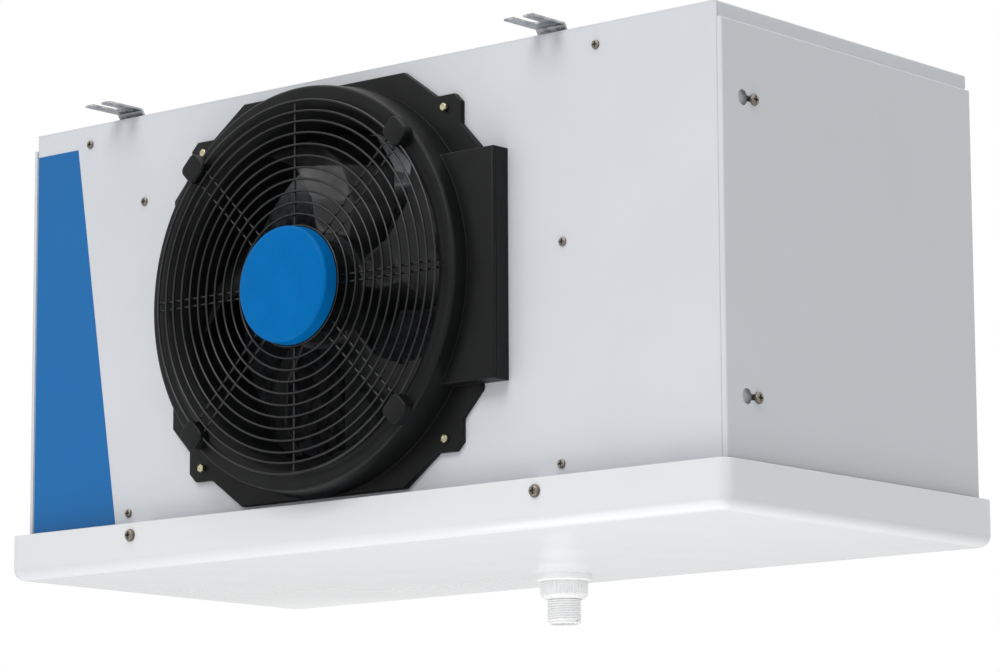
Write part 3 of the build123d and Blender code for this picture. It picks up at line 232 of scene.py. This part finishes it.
# ---- mesh helpers -----------------------------------------------------------------------------
def new_piece(bm, name, body, finish, replaces=(), smooth=40):
    """Ends a bmesh as an object that rides on a body; faces meeting at less than smooth degrees shade as one."""
    mesh = bpy.data.meshes.new(name)
    bmesh.ops.remove_doubles(bm, verts=bm.verts, dist=1e-6)
    bmesh.ops.recalc_face_normals(bm, faces=bm.faces)
    bm.to_mesh(mesh)
    bm.free()
    mesh.shade_smooth()
    mesh.set_sharp_from_angle(angle=radians(smooth))
    piece = bpy.data.objects.new(name, mesh)
    bpy.context.scene.collection.objects.link(piece)
    mesh.materials.clear()
    mesh.materials.append(finish_of(finish))
    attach(piece, body)
    if replaces:
        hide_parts(*replaces)
    return piece


def absorb(bm, part):
    """Moves the whole of one bmesh into another."""
    mesh = bpy.data.meshes.new("part")
    part.to_mesh(mesh)
    part.free()
    bm.from_mesh(mesh)
    bpy.data.meshes.remove(mesh)


def bevel_edges(bm, edges, width, segments):
    """Rounds edges by a width."""
    return bmesh.ops.bevel(bm, geom=edges, offset=width, segments=segments, profile=0.5, affect="EDGES", material=-1)


def rounded_outline(bm, points, corners=()):
    """A face in the XY plane; corners lists (point numbers, radius, segments) to round."""
    verts = [bm.verts.new((x, y, 0)) for x, y in points]
    bm.faces.new(verts)
    for numbers, radius, segments in corners:
        bmesh.ops.bevel(bm, geom=[verts[i] for i in numbers], offset=radius, segments=segments, profile=0.5,
                        affect="VERTICES", material=-1, offset_type="OFFSET")
    return bm


def turned(points, corners=(), steps=160):
    """Spins a closed outline of (radius, distance along Y) about the Y axis."""
    bm = rounded_outline(bmesh.new(), points, corners)
    bmesh.ops.delete(bm, geom=bm.faces[:], context="FACES_ONLY")
    bmesh.ops.spin(bm, geom=bm.verts[:] + bm.edges[:], cent=(0, 0, 0), axis=(0, 1, 0), dvec=(0, 0, 0),
                   angle=2 * pi, steps=steps, use_merge=True, use_duplicate=False)
    bmesh.ops.remove_doubles(bm, verts=bm.verts, dist=1e-6)
    return bm


def add_block(bm, low, high, edge=0.0, segments=3):
    """A block between two corners with its edges rounded."""
    size = [h - l for l, h in zip(low, high)]
    middle = [(h + l) / 2 for l, h in zip(low, high)]
    made = bmesh.ops.create_cube(bm, size=1, matrix=Matrix.Translation(middle) @ Matrix.Diagonal((*size, 1)))
    if edge:
        made = bevel_edges(bm, list(dict.fromkeys(e for v in made["verts"] for e in v.link_edges)), edge, segments)
    return made["verts"]


def add_rod(bm, start, end, radius, sides=10):
    """A round bar between two points."""
    start, end = Vector(start), Vector(end)
    turn = (end - start).to_track_quat("Z", "Y").to_matrix().to_4x4()
    bmesh.ops.create_cone(bm, cap_ends=True, segments=sides, radius1=radius, radius2=radius,
                          depth=(end - start).length, matrix=Matrix.Translation((start + end) / 2) @ turn)


def solids_of(node):
    """The boxes of a CAD node's separate solids, as (low, high) corners."""
    bm = bmesh.new()
    bm.from_mesh(NODES[node].data)
    bmesh.ops.remove_doubles(bm, verts=bm.verts, dist=1e-6)
    left, boxes = set(bm.verts), []
    for first in bm.verts:
        if first not in left:
            continue
        left.remove(first)
        island, stack = [], [first]
        while stack:
            vert = stack.pop()
            island.append(vert.co.copy())
            for edge in vert.link_edges:
                other = edge.other_vert(vert)
                if other in left:
                    left.remove(other)
                    stack.append(other)
        boxes.append(tuple(Vector(pick(c[i] for c in island) for i in range(3)) for pick in (min, max)))
    bm.free()
    return boxes


# ---- sizes and colours that a user may change ---------------------------------------------------
class CoolerFinish(bpy.types.PropertyGroup):
    """Colours of the finishes."""
    enamel: colour_property("Enamel", "Powder paint of the casing", "#E2E5EA")
    pan: colour_property("Pan", "Glossy drip pan", "#EEF0F3")
    galvanised: colour_property("Galvanised", "Galvanised sheet", "#B4B7BA")
    fins: colour_property("Fins", "Aluminium fins", "#EEF0F2")
    copper: colour_property("Copper", "Copper tube", "#C98A63")
    moulding: colour_property("Moulding", "Black fan moulding", "#0D0E0F")
    wire: colour_property("Wire", "Coated guard wire", "#070808")
    hub: colour_property("Hub", "Hub cap", "#0071BC")
    fan: colour_property("Fan", "Fan blades and motor", "#0E0F10")
    zinc: colour_property("Zinc", "Plated hex screws", "#C9C3A2")
    screw: colour_property("Screws", "Panel screws", "#8E877E")
    steel: colour_property("Steel", "Ground steel", "#B4B6B9")
    rubber: colour_property("Rubber", "Rubber and cable sheath", "#151515")
    drain: colour_property("Drain", "White drain plastic", "#FAFAFA")
    box: colour_property("Box", "Grey terminal box", "#9FA2A4")
    foil: colour_property("Foil", "Blue side foil", "#0A6EB4")


class CoolerSizes(bpy.types.PropertyGroup):
    """Sizes of the pieces modelled here."""
    wire: length_property("Wire", "Radius of a guard wire", 1.15 * MM)
    inner_wire: length_property("Inner wire", "Radius of the innermost guard wire", 56.0 * MM)
    wire_pitch: length_property("Wire pitch", "From one guard wire to the next", 10.85 * MM)
    inner_wires: IntProperty(name="Inner wires", description="Evenly spaced guard wires", default=10, min=1)
    outer_wire: length_property("Outer wire", "Radius of the outermost guard wire", 173.2 * MM)
    outer_gap: length_property("Outer gap", "Between the two outermost guard wires", 10.0 * MM)
    guard_reach: length_property("Guard reach", "Guard wires ahead of the casing", 45.0 * MM)
    throat: length_property("Throat", "Radius of the fan throat", 157.0 * MM)
    throat_depth: length_property("Throat depth", "Throat behind the casing front", 55.0 * MM)
    rim: length_property("Rim", "Radius of the front rim", 188.0 * MM)
    rim_reach: length_property("Rim reach", "Front rim ahead of the casing", 38.0 * MM)
    mould: length_property("Moulding wall", "Wall of the black moulding", 3.0 * MM)
    plate: length_property("Moulding plate", "Base plate of the moulding", 6.0 * MM)
    lug_pitch: length_property("Lug pitch", "Between the screws of the moulding's lugs", 303.0 * MM)
    box_reach: length_property("Lead box reach", "Lead box ahead of the casing", 21.4 * MM)
    box_height: length_property("Lead box height", "Height of the lead box", 210.0 * MM)
    clip_width: length_property("Clip width", "Width of a guard clip", 24.0 * MM)
    fin_pitch: length_property("Fin pitch", "From one fin to the next", 4.0 * MM)
    fin: length_property("Fin", "Thickness of a fin", 0.25 * MM)
    pan_wall: length_property("Pan wall", "Wall of the drip pan", 3.0 * MM)
    pan_corner: length_property("Pan corner", "Upright corners of the drip pan", 14.0 * MM)
    pan_edge: length_property("Pan edge", "Rounding round the pan's floor", 12.0 * MM)
    thread_pitch: length_property("Thread pitch", "Pitch of the drain thread", 2.309 * MM)


# ---- the pieces -----------------------------------------------------------------------------------
class COOLER_OT_paint(bpy.types.Operator):
    """Gives every CAD node that stays in view its finish"""
    bl_idname = "cooler.paint"
    bl_label = "Paint the casing and fittings"

    def execute(self, context):
        for finish, names in NODE_FINISH.items():
            for name in names:
                for place in NODES[name].material_slots:
                    place.material = finish_of(finish)
        return {"FINISHED"}


class COOLER_OT_moulding(bpy.types.Operator):
    """Black fan moulding: base plate with four lugs, bell-mouthed ring, throat and lead box"""
    bl_idname = "cooler.moulding"
    bl_label = "Fan moulding"

    def execute(self, context):
        size = context.scene.cooler_sizes
        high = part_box("fan_shroud")[1]
        flat, mould = high.z - FAN.z, size.mould
        # ring: throat, bell mouth, rolled rim and outer cone, drawn once and spun
        rim, reach, throat = size.rim, size.rim_reach, size.throat
        bm = turned([
            (throat, size.throat_depth), (throat, -reach / 2), (throat + 14 * MM, -reach), (rim, -reach),
            (rim + 4 * MM, -size.plate / 2), (rim + 1 * MM, -size.plate / 2), (rim - 3.2 * MM, -reach + mould),
            (throat + 15.5 * MM, -reach + mould), (throat + mould, -reach / 2 + 1 * MM),
            (throat + mould, size.throat_depth),
        ], (((1,), 8 * MM, 6), ((2,), 5 * MM, 6), ((3,), 3.2 * MM, 6), ((8,), 6 * MM, 4), ((7,), 2 * MM, 3)), 192)
        # base plate: outline with lugs and a hole under the ring
        lug = size.lug_pitch / 2
        corner = [(flat * 0.525, flat), (lug - 11 * MM, lug + 12 * MM), (lug + 10 * MM, lug + 12 * MM),
                  (lug + 18 * MM, lug + 4 * MM), (lug + 18 * MM, lug - 17 * MM), (flat, flat * 0.575)]
        points = []
        for sx, sz in ((1, 1), (1, -1), (-1, -1), (-1, 1)):
            part = [(sx * x, sz * z) for x, z in corner]
            points += part if sx * sz > 0 else part[::-1]
        plate = rounded_outline(bmesh.new(), points)
        bmesh.ops.delete(plate, geom=plate.faces[:], context="FACES_ONLY")
        bmesh.ops.create_circle(plate, cap_ends=False, segments=128, radius=rim - 1 * MM)
        bmesh.ops.triangle_fill(plate, use_beauty=True, use_dissolve=False, edges=plate.edges[:])
        bottom = plate.faces[:]
        raised = bmesh.ops.extrude_face_region(plate, geom=bottom)
        top = [item for item in raised["geom"] if isinstance(item, bmesh.types.BMFace)]
        bmesh.ops.translate(plate, verts=list(dict.fromkeys(v for f in top for v in f.verts)),
                            vec=(0, 0, size.plate))
        outer = [e for e in dict.fromkeys(e for f in top for e in f.edges)
                 if sum(f in top for f in e.link_faces) == 1 and e.verts[0].co.xy.length > rim]
        bevel_edges(plate, outer, 1.2 * MM, 3)
        # the plate is drawn flat; it stands up with its top to the front
        bmesh.ops.rotate(plate, verts=plate.verts, cent=(0, 0, 0), matrix=Matrix.Rotation(pi / 2, 3, "X"))
        absorb(bm, plate)
        # lead box, its near side on the ring: a tray, a seam and a lid
        out, front, half, lid, seam = high.x - FAN.x, size.box_reach, size.box_height / 2, 5 * MM, 0.7 * MM
        for back, ahead, inset in ((0, front - lid, 0), (front - lid, front - lid + seam, 0.8 * MM),
                                   (front - lid + seam, front, 0)):
            self.add_slab(bm, rim, out - inset, half - inset, back, ahead, 1.4 * MM if ahead == front else 0)
        bmesh.ops.translate(bm, verts=bm.verts, vec=FAN)
        new_piece(bm, "fan_moulding", "casing", "moulding", ("fan_shroud",), 30)
        return {"FINISHED"}

    def add_slab(self, bm, rim, out, half, back, ahead, edge):
        """One slab of the lead box, between two distances ahead of the casing, hollowed to the ring's arc."""
        arc = rim + 1 * MM
        sweep = asin(half / arc)
        points = [(arc * cos(a), arc * sin(a)) for a in (sweep * (1 - step / 8) for step in range(17))]
        points += [(out, -half), (out, half)]
        slab = bmesh.new()
        low = [slab.verts.new((x, -back, z)) for x, z in points]
        high = [slab.verts.new((x, -ahead, z)) for x, z in points]
        slab.faces.new(low)
        slab.faces.new(high[::-1])
        for i in range(len(points)):
            slab.faces.new((low[i - 1], low[i], high[i], high[i - 1]))
        if edge:
            front = [e for e in slab.edges if all(v in high[-2:] for v in e.verts)
                     or {high[-1], high[0]} == set(e.verts) or {high[-2], high[-3]} == set(e.verts)]
            bevel_edges(slab, front, edge, 3)
        bmesh.ops.recalc_face_normals(slab, faces=slab.faces)
        absorb(bm, slab)


class COOLER_OT_guard(bpy.types.Operator):
    """Round wires of the guard: rings in front, radial wires welded behind"""
    bl_idname = "cooler.guard"
    bl_label = "Wire guard"

    def execute(self, context):
        size = context.scene.cooler_sizes
        radii = [size.inner_wire + size.wire_pitch * turn for turn in range(size.inner_wires)]
        radii += [size.outer_wire - size.outer_gap, size.outer_wire]
        bm = bmesh.new()
        for radius in radii:
            ring = bmesh.new()
            made = bmesh.ops.create_circle(ring, cap_ends=False, segments=10, radius=size.wire)
            bmesh.ops.translate(ring, verts=made["verts"], vec=(radius, 0, 0))
            bmesh.ops.spin(ring, geom=ring.verts[:] + ring.edges[:], cent=(0, 0, 0), axis=(0, 1, 0),
                           dvec=(0, 0, 0), angle=2 * pi, steps=144, use_merge=True, use_duplicate=False)
            bmesh.ops.remove_doubles(ring, verts=ring.verts, dist=1e-6)
            bmesh.ops.recalc_face_normals(ring, faces=ring.faces)
            absorb(bm, ring)
        start, end, back = 40 * MM, size.outer_wire + size.wire, 2 * size.wire
        for angle, apart in SPOKES:
            turn = Matrix.Rotation(radians(-angle), 3, "Y")
            for shift in ((-apart / 2, apart / 2) if apart else (0,)):
                add_rod(bm, turn @ Vector((start, back, shift)), turn @ Vector((end, back, shift)), size.wire)
        bmesh.ops.translate(bm, verts=bm.verts, vec=FAN + Vector((0, -size.guard_reach, 0)))
        new_piece(bm, "guard_wires", "casing", "wire", ("fan_guard",), 60)
        return {"FINISHED"}


class COOLER_OT_clips(bpy.types.Operator):
    """Rounded pads that hold the guard's outer wire on the rim"""
    bl_idname = "cooler.clips"
    bl_label = "Guard clips"

    def execute(self, context):
        size = context.scene.cooler_sizes
        front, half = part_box("guard_clips")[0].y - FACE_Y, size.clip_width / 2
        bm = bmesh.new()
        for angle in CLIP_ANGLES:
            pad = bmesh.new()
            add_block(pad, (size.outer_wire - 5 * MM, front, -half), (size.rim + 2 * MM, -size.rim_reach, half))
            deep = [e for e in pad.edges if abs(e.verts[0].co.y - e.verts[1].co.y) > 5 * MM]
            bevel_edges(pad, deep, 6 * MM, 6)
            face = [e for e in pad.edges if all(v.co.y < front + 0.1 * MM for v in e.verts)]
            bevel_edges(pad, face, 1.8 * MM, 4)
            bmesh.ops.rotate(pad, verts=pad.verts, cent=(0, 0, 0), matrix=Matrix.Rotation(radians(-angle), 3, "Y"))
            absorb(bm, pad)
        bmesh.ops.translate(bm, verts=bm.verts, vec=FAN)
        new_piece(bm, "clip_pads", "casing", "moulding", ("guard_clips",))
        return {"FINISHED"}


class COOLER_OT_cap(bpy.types.Operator):
    """Domed blue hub cap with a rolled edge"""
    bl_idname = "cooler.cap"
    bl_label = "Hub cap"

    def execute(self, context):
        low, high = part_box("hub_cap")
        radius, front, back = (high.x - low.x) / 2, low.y - FACE_Y, high.y - FACE_Y
        bm = turned([
            (0, front), (radius * 0.55, front + 0.35 * MM), (radius - 1 * MM, front + 1.6 * MM), (radius, back),
            (radius - 2.5 * MM, back), (radius - 3 * MM, front + 4 * MM), (0, front + 3 * MM),
        ], (((2,), 3.2 * MM, 6), ((1,), 12 * MM, 6)), 128)
        bmesh.ops.translate(bm, verts=bm.verts, vec=FAN)
        new_piece(bm, "hub_cap_moulding", "casing", "hub", ("hub_cap",), 35)
        return {"FINISHED"}


class COOLER_OT_impeller(bpy.types.Operator):
    """Fan wheel with its blades shaded smooth"""
    bl_idname = "cooler.impeller"
    bl_label = "Fan wheel"

    def execute(self, context):
        bm = bmesh.new()
        bm.from_mesh(NODES["impeller"].data)
        new_piece(bm, "fan_wheel", "fan_rotor", "fan", ("impeller",), 30)
        return {"FINISHED"}


class COOLER_OT_pan(bpy.types.Operator):
    """Glossy drip pan with rounded corners and a soft rim"""
    bl_idname = "cooler.pan"
    bl_label = "Drip pan"

    def execute(self, context):
        size = context.scene.cooler_sizes
        low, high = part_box("drip_pan")
        bm = bmesh.new()
        add_block(bm, low, high)
        lid = [f for f in bm.faces if f.normal.z > 0.9]
        bmesh.ops.delete(bm, geom=lid, context="FACES_ONLY")
        upright = [e for e in bm.edges if abs(e.verts[0].co.z - e.verts[1].co.z) > 1 * MM]
        bevel_edges(bm, upright, size.pan_corner, 10)
        foot = [e for e in bm.edges if max(v.co.z for v in e.verts) < low.z + 0.1 * MM and len(e.link_faces) == 2]
        bevel_edges(bm, foot, size.pan_edge, 10)
        bmesh.ops.recalc_face_normals(bm, faces=bm.faces)
        piece = new_piece(bm, "pan_shell", "pan", "pan", ("drip_pan",), 30)
        wall = piece.modifiers.new("wall", "SOLIDIFY")
        wall.thickness, wall.offset = size.pan_wall, -1
        soft = piece.modifiers.new("rim", "BEVEL")
        soft.width, soft.segments, soft.limit_method, soft.angle_limit = 0.8 * MM, 3, "ANGLE", radians(50)
        return {"FINISHED"}


class COOLER_OT_drain(bpy.types.Operator):
    """Drain spigot thread and the ribbed ring nut"""
    bl_idname = "cooler.drain"
    bl_label = "Drain"

    def execute(self, context):
        size = context.scene.cooler_sizes
        low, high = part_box("drain_nut")
        middle = Vector(((low.x + high.x) / 2, (low.y + high.y) / 2, 0))
        radius, inner = (high.x - low.x) / 2, 16.8 * MM
        height = high.z - low.z
        bm = turned([
            (inner, 0), (radius - 1.4 * MM, 0), (radius - 1.0 * MM, 0.6 * MM), (radius - 1.0 * MM, height - 3 * MM),
            (radius - 4 * MM, height), (inner, height),
        ], (((3, 4), 1.5 * MM, 4),), 96)
        ribs = 40
        for rib in range(ribs):
            turn = Matrix.Rotation(2 * pi * rib / ribs, 4, "Y")
            made = add_block(bm, (radius - 1.6 * MM, 1.2 * MM, -0.8 * MM), (radius, height - 3.2 * MM, 0.8 * MM),
                             0.45 * MM, 2)
            bmesh.ops.transform(bm, matrix=turn, verts=made)
        bmesh.ops.rotate(bm, verts=bm.verts, cent=(0, 0, 0), matrix=Matrix.Rotation(-pi / 2, 3, "X"))
        bmesh.ops.translate(bm, verts=bm.verts, vec=middle + Vector((0, 0, high.z)))
        new_piece(bm, "ribbed_nut", "pan", "drain", ("drain_nut",), 30)

        # the fitting: a flange inside the pan, a plain body and a core for the thread
        low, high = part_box("drain_fitting")
        deep, bore, body, stem = high.z - low.z, 13 * MM, 16.2 * MM, 15.5 * MM
        flange, shoulder = (high.x - low.x) / 2, deep - 24 * MM
        bm = turned([(bore, 0), (flange, 0), (flange, 3 * MM), (body, 3 * MM), (body, shoulder), (stem, shoulder),
                     (stem, deep - 1 * MM), (stem - 1 * MM, deep), (bore, deep)], (((1, 2), 0.8 * MM, 3),), 96)
        bmesh.ops.rotate(bm, verts=bm.verts, cent=(0, 0, 0), matrix=Matrix.Rotation(-pi / 2, 3, "X"))
        bmesh.ops.translate(bm, verts=bm.verts, vec=middle + Vector((0, 0, high.z)))
        new_piece(bm, "drain_body", "pan", "drain", ("drain_fitting",), 30)

        # external pipe thread: one V wound up the spigot
        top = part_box("drain_nut")[0].z + 2 * MM
        pitch, depth, core = size.thread_pitch, 1.2 * MM, 15.4 * MM
        bm = bmesh.new()
        outline = [bm.verts.new((core + r, 0, z)) for r, z in (
            (0, 0), (depth, pitch * 0.42), (depth, pitch * 0.58), (0, pitch))]
        edges = [bm.edges.new(pair) for pair in zip(outline, outline[1:])]
        turns = int((top - low.z - 1.5 * MM) / pitch)
        bmesh.ops.spin(bm, geom=outline + edges, cent=(0, 0, 0), axis=(0, 0, 1), dvec=(0, 0, pitch / 48),
                       angle=2 * pi * turns, steps=48 * turns, use_merge=False, use_duplicate=False)
        bmesh.ops.remove_doubles(bm, verts=bm.verts, dist=2e-5)
        bmesh.ops.translate(bm, verts=bm.verts, vec=middle + Vector((0, 0, low.z + 1 * MM)))
        new_piece(bm, "spigot_thread", "pan", "drain", (), 25)
        return {"FINISHED"}


class COOLER_OT_fins(bpy.types.Operator):
    """Corrugated aluminium fins between the end plates"""
    bl_idname = "cooler.fins"
    bl_label = "Coil fins"

    def execute(self, context):
        size = context.scene.cooler_sizes
        low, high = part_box("fin_pack")
        count = int((high.x - low.x - size.fin) / size.fin_pitch)
        pitch = (high.x - low.x - size.fin) / count
        bm = bmesh.new()
        fin = bmesh.ops.create_grid(bm, x_segments=12, y_segments=1, size=0.5)["verts"]
        for vert in fin:
            column = round((vert.co.x + 0.5) * 12)
            vert.co.z = 0.5 * MM if column % 2 and 0 < column < 12 else 0.0
        stand = Matrix(((0, 0, 1, low.x), (high.y - low.y, 0, 0, (low.y + high.y) / 2),
                        (0, high.z - low.z, 0, (low.z + high.z) / 2), (0, 0, 0, 1)))
        bmesh.ops.transform(bm, matrix=stand, verts=bm.verts)
        bmesh.ops.solidify(bm, geom=bm.faces[:], thickness=-size.fin)
        first = bm.verts[:] + bm.edges[:] + bm.faces[:]
        for turn in range(1, count):
            copy = bmesh.ops.duplicate(bm, geom=first)
            bmesh.ops.translate(bm, verts=[v for v in copy["geom"] if isinstance(v, bmesh.types.BMVert)],
                                vec=(pitch * turn, 0, 0))
        new_piece(bm, "coil_fins", "casing", "fins", ("fin_pack",), 20)
        return {"FINISHED"}


class COOLER_OT_screws(bpy.types.Operator):
    """Screw heads with sockets and washers in place of the plain ones"""
    bl_idname = "cooler.screws"
    bl_label = "Screws"

    def execute(self, context):
        for node, body, direction, hexagon in (
                ("panel_screws", "casing", (0, -1, 0), False), ("rear_screws", "casing", (0, 1, 0), False),
                ("cover_screws", "casing", None, False), ("lug_screws", "casing", (0, -1, 0), True),
                ("bracket_screws", "casing", (0, 0, 1), True), ("pan_screws", "pan", (0, -1, 0), False)):
            bm = bmesh.new()
            for low, high in solids_of(node):
                middle = (low + high) / 2
                way = Vector(direction) if direction else Vector((1 if middle.x > 0 else -1, 0, 0))
                spans = [h - l for l, h, w in zip(low, high, way) if abs(w) < 0.5]
                along = max(abs(w) * (h - l) for l, h, w in zip(low, high, way))
                radius = min(spans) / 2
                tip = middle + way * along / 2
                self.head(bm, tip, way, radius, min(along, radius * (0.75 if hexagon else 0.6)), hexagon,
                          along)
            new_piece(bm, node + "_heads", body, "zinc" if hexagon else "screw", (node,), 35)
        return {"FINISHED"}

    def head(self, bm, tip, way, radius, height, hexagon, along):
        """One screw: head with a socket, and its shank."""
        turn = way.to_track_quat("Z", "Y").to_matrix().to_4x4()
        place = Matrix.Translation(tip) @ turn
        washer = along < 2 * MM
        made = bmesh.ops.create_cone(bm, cap_ends=True, segments=6 if hexagon else 28, radius1=radius,
                                     radius2=radius, depth=along if washer else height)["verts"]
        bmesh.ops.translate(bm, verts=made, vec=(0, 0, -(along if washer else height) / 2))
        faces = {f for v in made for f in v.link_faces}
        top = max(faces, key=lambda f: f.calc_center_median().z)
        rim = list(top.edges)
        if washer:
            bmesh.ops.transform(bm, matrix=place, verts=made)
            return
        bevelled = bevel_edges(bm, rim, height * (0.2 if hexagon else 0.45), 3)
        verts = {v for v in made if v.is_valid} | {v for f in bevelled["faces"] for v in f.verts}
        faces = {f for v in verts for f in v.link_faces}
        top = max(faces, key=lambda f: f.calc_center_median().z)
        if hexagon:
            inner = bmesh.ops.inset_individual(bm, faces=[top], thickness=radius * 0.3)
            dish = bmesh.ops.inset_individual(bm, faces=[top], thickness=0.4 * MM, depth=-0.4 * MM)
            verts |= {v for f in inner["faces"] + dish["faces"] + [top] for v in f.verts}
        else:
            verts |= self.cross(bm, top, radius * 0.6, radius * 0.17, height * 0.85)
        if along > height + 1 * MM:
            shank = bmesh.ops.create_cone(bm, cap_ends=True, segments=12, radius1=radius * 0.48,
                                          radius2=radius * 0.48, depth=along - height)["verts"]
            bmesh.ops.translate(bm, verts=shank, vec=(0, 0, -(height + along) / 2))
            verts |= set(shank)
        bmesh.ops.transform(bm, matrix=place, verts=list(verts))


    def cross(self, bm, top, reach, half, depth):
        """Cuts a cross recess into the flat top of a head; returns its corners."""
        level = top.calc_center_median().z
        rim = list(top.edges)
        corners = []
        for turn in range(4):
            for x, y in ((reach, -half), (reach, half), (half, half)):
                corners.append(Matrix.Rotation(turn * pi / 2, 3, "Z") @ Vector((x, y, level)))
        ring = [bm.verts.new(corner) for corner in corners]
        foot = [bm.verts.new(corner * 0.85 + Vector((0, 0, -depth - corner.z * 0.85 + level))) for corner in corners]
        bmesh.ops.delete(bm, geom=[top], context="FACES_ONLY")
        edges = [bm.edges.new((ring[i - 1], ring[i])) for i in range(len(ring))]
        bmesh.ops.triangle_fill(bm, use_beauty=True, use_dissolve=False, edges=rim + edges)
        for i in range(len(ring)):
            bm.faces.new((ring[i - 1], ring[i], foot[i], foot[i - 1]))
        bm.faces.new(foot)
        return {*ring, *foot}


class COOLER_OT_stage(bpy.types.Operator):
    """Pale floor, soft lamps, white surroundings and the camera"""
    bl_idname = "cooler.stage"
    bl_label = "Studio"

    def execute(self, context):
        scene = context.scene
        bm = bmesh.new()
        bmesh.ops.create_grid(bm, x_segments=1, y_segments=1, size=FLOOR_HALF)
        bmesh.ops.translate(bm, verts=bm.verts, vec=(0, 0, FLOOR_Z))
        mesh = bpy.data.meshes.new("studio_floor")
        bm.to_mesh(mesh)
        bm.free()
        floor = bpy.data.objects.new("studio_floor", mesh)
        scene.collection.objects.link(floor)
        # Matt painted board: no gloss, a barely seen roller texture
        mesh.materials.append(make_material("matt_floor", linear("#F0F0F0"), tones=(0.99, 1.0), gloss=(0.8, 0.9),
                                            slow=300 * MM, grain=10 * MM, depth=0.1 * MM))

        world = bpy.data.worlds.new("studio")
        scene.world = world
        world.use_nodes = True
        tree = world.node_tree
        tree.nodes.clear()
        path = add_node(tree, "ShaderNodeLightPath").outputs
        seen = add_node(tree, "ShaderNodeMath", {0: path["Is Camera Ray"], 1: path["Is Glossy Ray"]},
                        operation="MAXIMUM").outputs[0]
        seen = add_node(tree, "ShaderNodeMath", {0: seen, 1: path["Is Transmission Ray"]},
                        operation="MAXIMUM").outputs[0]
        lamp = add_node(tree, "ShaderNodeBackground", {"Color": (1, 1, 1, 1), "Strength": 0.36})
        white = add_node(tree, "ShaderNodeBackground", {"Color": (1, 1, 1, 1), "Strength": 1.0})
        both = add_node(tree, "ShaderNodeMixShader", {0: seen, 1: lamp.outputs[0], 2: white.outputs[0]})
        add_node(tree, "ShaderNodeOutputWorld", {"Surface": both.outputs[0]})

        for name, place, aim, side, power in LAMPS:
            lamp = bpy.data.lights.new(name, "AREA")
            lamp.shape, lamp.size, lamp.energy = "SQUARE", side, power
            stand = bpy.data.objects.new(name, lamp)
            scene.collection.objects.link(stand)
            stand.location = place
            stand.rotation_euler = (Vector(aim) - Vector(place)).to_track_quat("-Z", "Y").to_euler()

        sky = bpy.data.lights.new("sky_lamp", "SUN")
        sky.energy, sky.angle = 1.2, radians(60)
        scene.collection.objects.link(bpy.data.objects.new("sky_lamp", sky))

        camera = bpy.data.objects.new("camera", bpy.data.cameras.new("camera"))
        scene.collection.objects.link(camera)
        camera.data.sensor_width, camera.data.lens = 36, CAMERA_LENS
        camera.location = CAMERA_AT
        camera.rotation_euler = (Euler((radians(CAMERA_TILT), 0, radians(CAMERA_TURN))).to_matrix()
                                 @ Matrix.Rotation(radians(CAMERA_ROLL), 3, "Z")).to_euler()
        scene.camera = camera
        scene.view_settings.view_transform = "Standard"
        return {"FINISHED"}


class COOLER_PT_panel(bpy.types.Panel):
    """Sizes, colours and pieces of the unit cooler"""
    bl_label = "Unit Cooler"
    bl_idname = "COOLER_PT_panel"
    bl_space_type = "VIEW_3D"
    bl_region_type = "UI"
    bl_category = "Unit Cooler"

    def draw(self, context):
        for group in (context.scene.cooler_sizes, context.scene.cooler_finish):
            for key in group.bl_rna.properties.keys():
                if key not in ("rna_type", "name"):
                    self.layout.prop(group, key)
        for operator in OPERATORS:
            self.layout.operator(operator.bl_idname)


OPERATORS = (COOLER_OT_paint, COOLER_OT_moulding, COOLER_OT_guard, COOLER_OT_clips, COOLER_OT_cap,
             COOLER_OT_impeller, COOLER_OT_pan, COOLER_OT_drain, COOLER_OT_fins, COOLER_OT_screws, COOLER_OT_stage)
CLASSES = (CoolerFinish, CoolerSizes, *OPERATORS, COOLER_PT_panel)


def register():
    for cls in CLASSES:
        bpy.utils.register_class(cls)
    bpy.types.Scene.cooler_finish = PointerProperty(type=CoolerFinish)
    bpy.types.Scene.cooler_sizes = PointerProperty(type=CoolerSizes)


def unregister():
    del bpy.types.Scene.cooler_sizes
    del bpy.types.Scene.cooler_finish
    for cls in reversed(CLASSES):
        bpy.utils.unregister_class(cls)


def main():
    register()
    for operator in OPERATORS:
        getattr(bpy.ops.cooler, operator.bl_idname.split(".")[1])()
    bpy.context.view_layer.update()


if __name__ == "__main__":
    main()
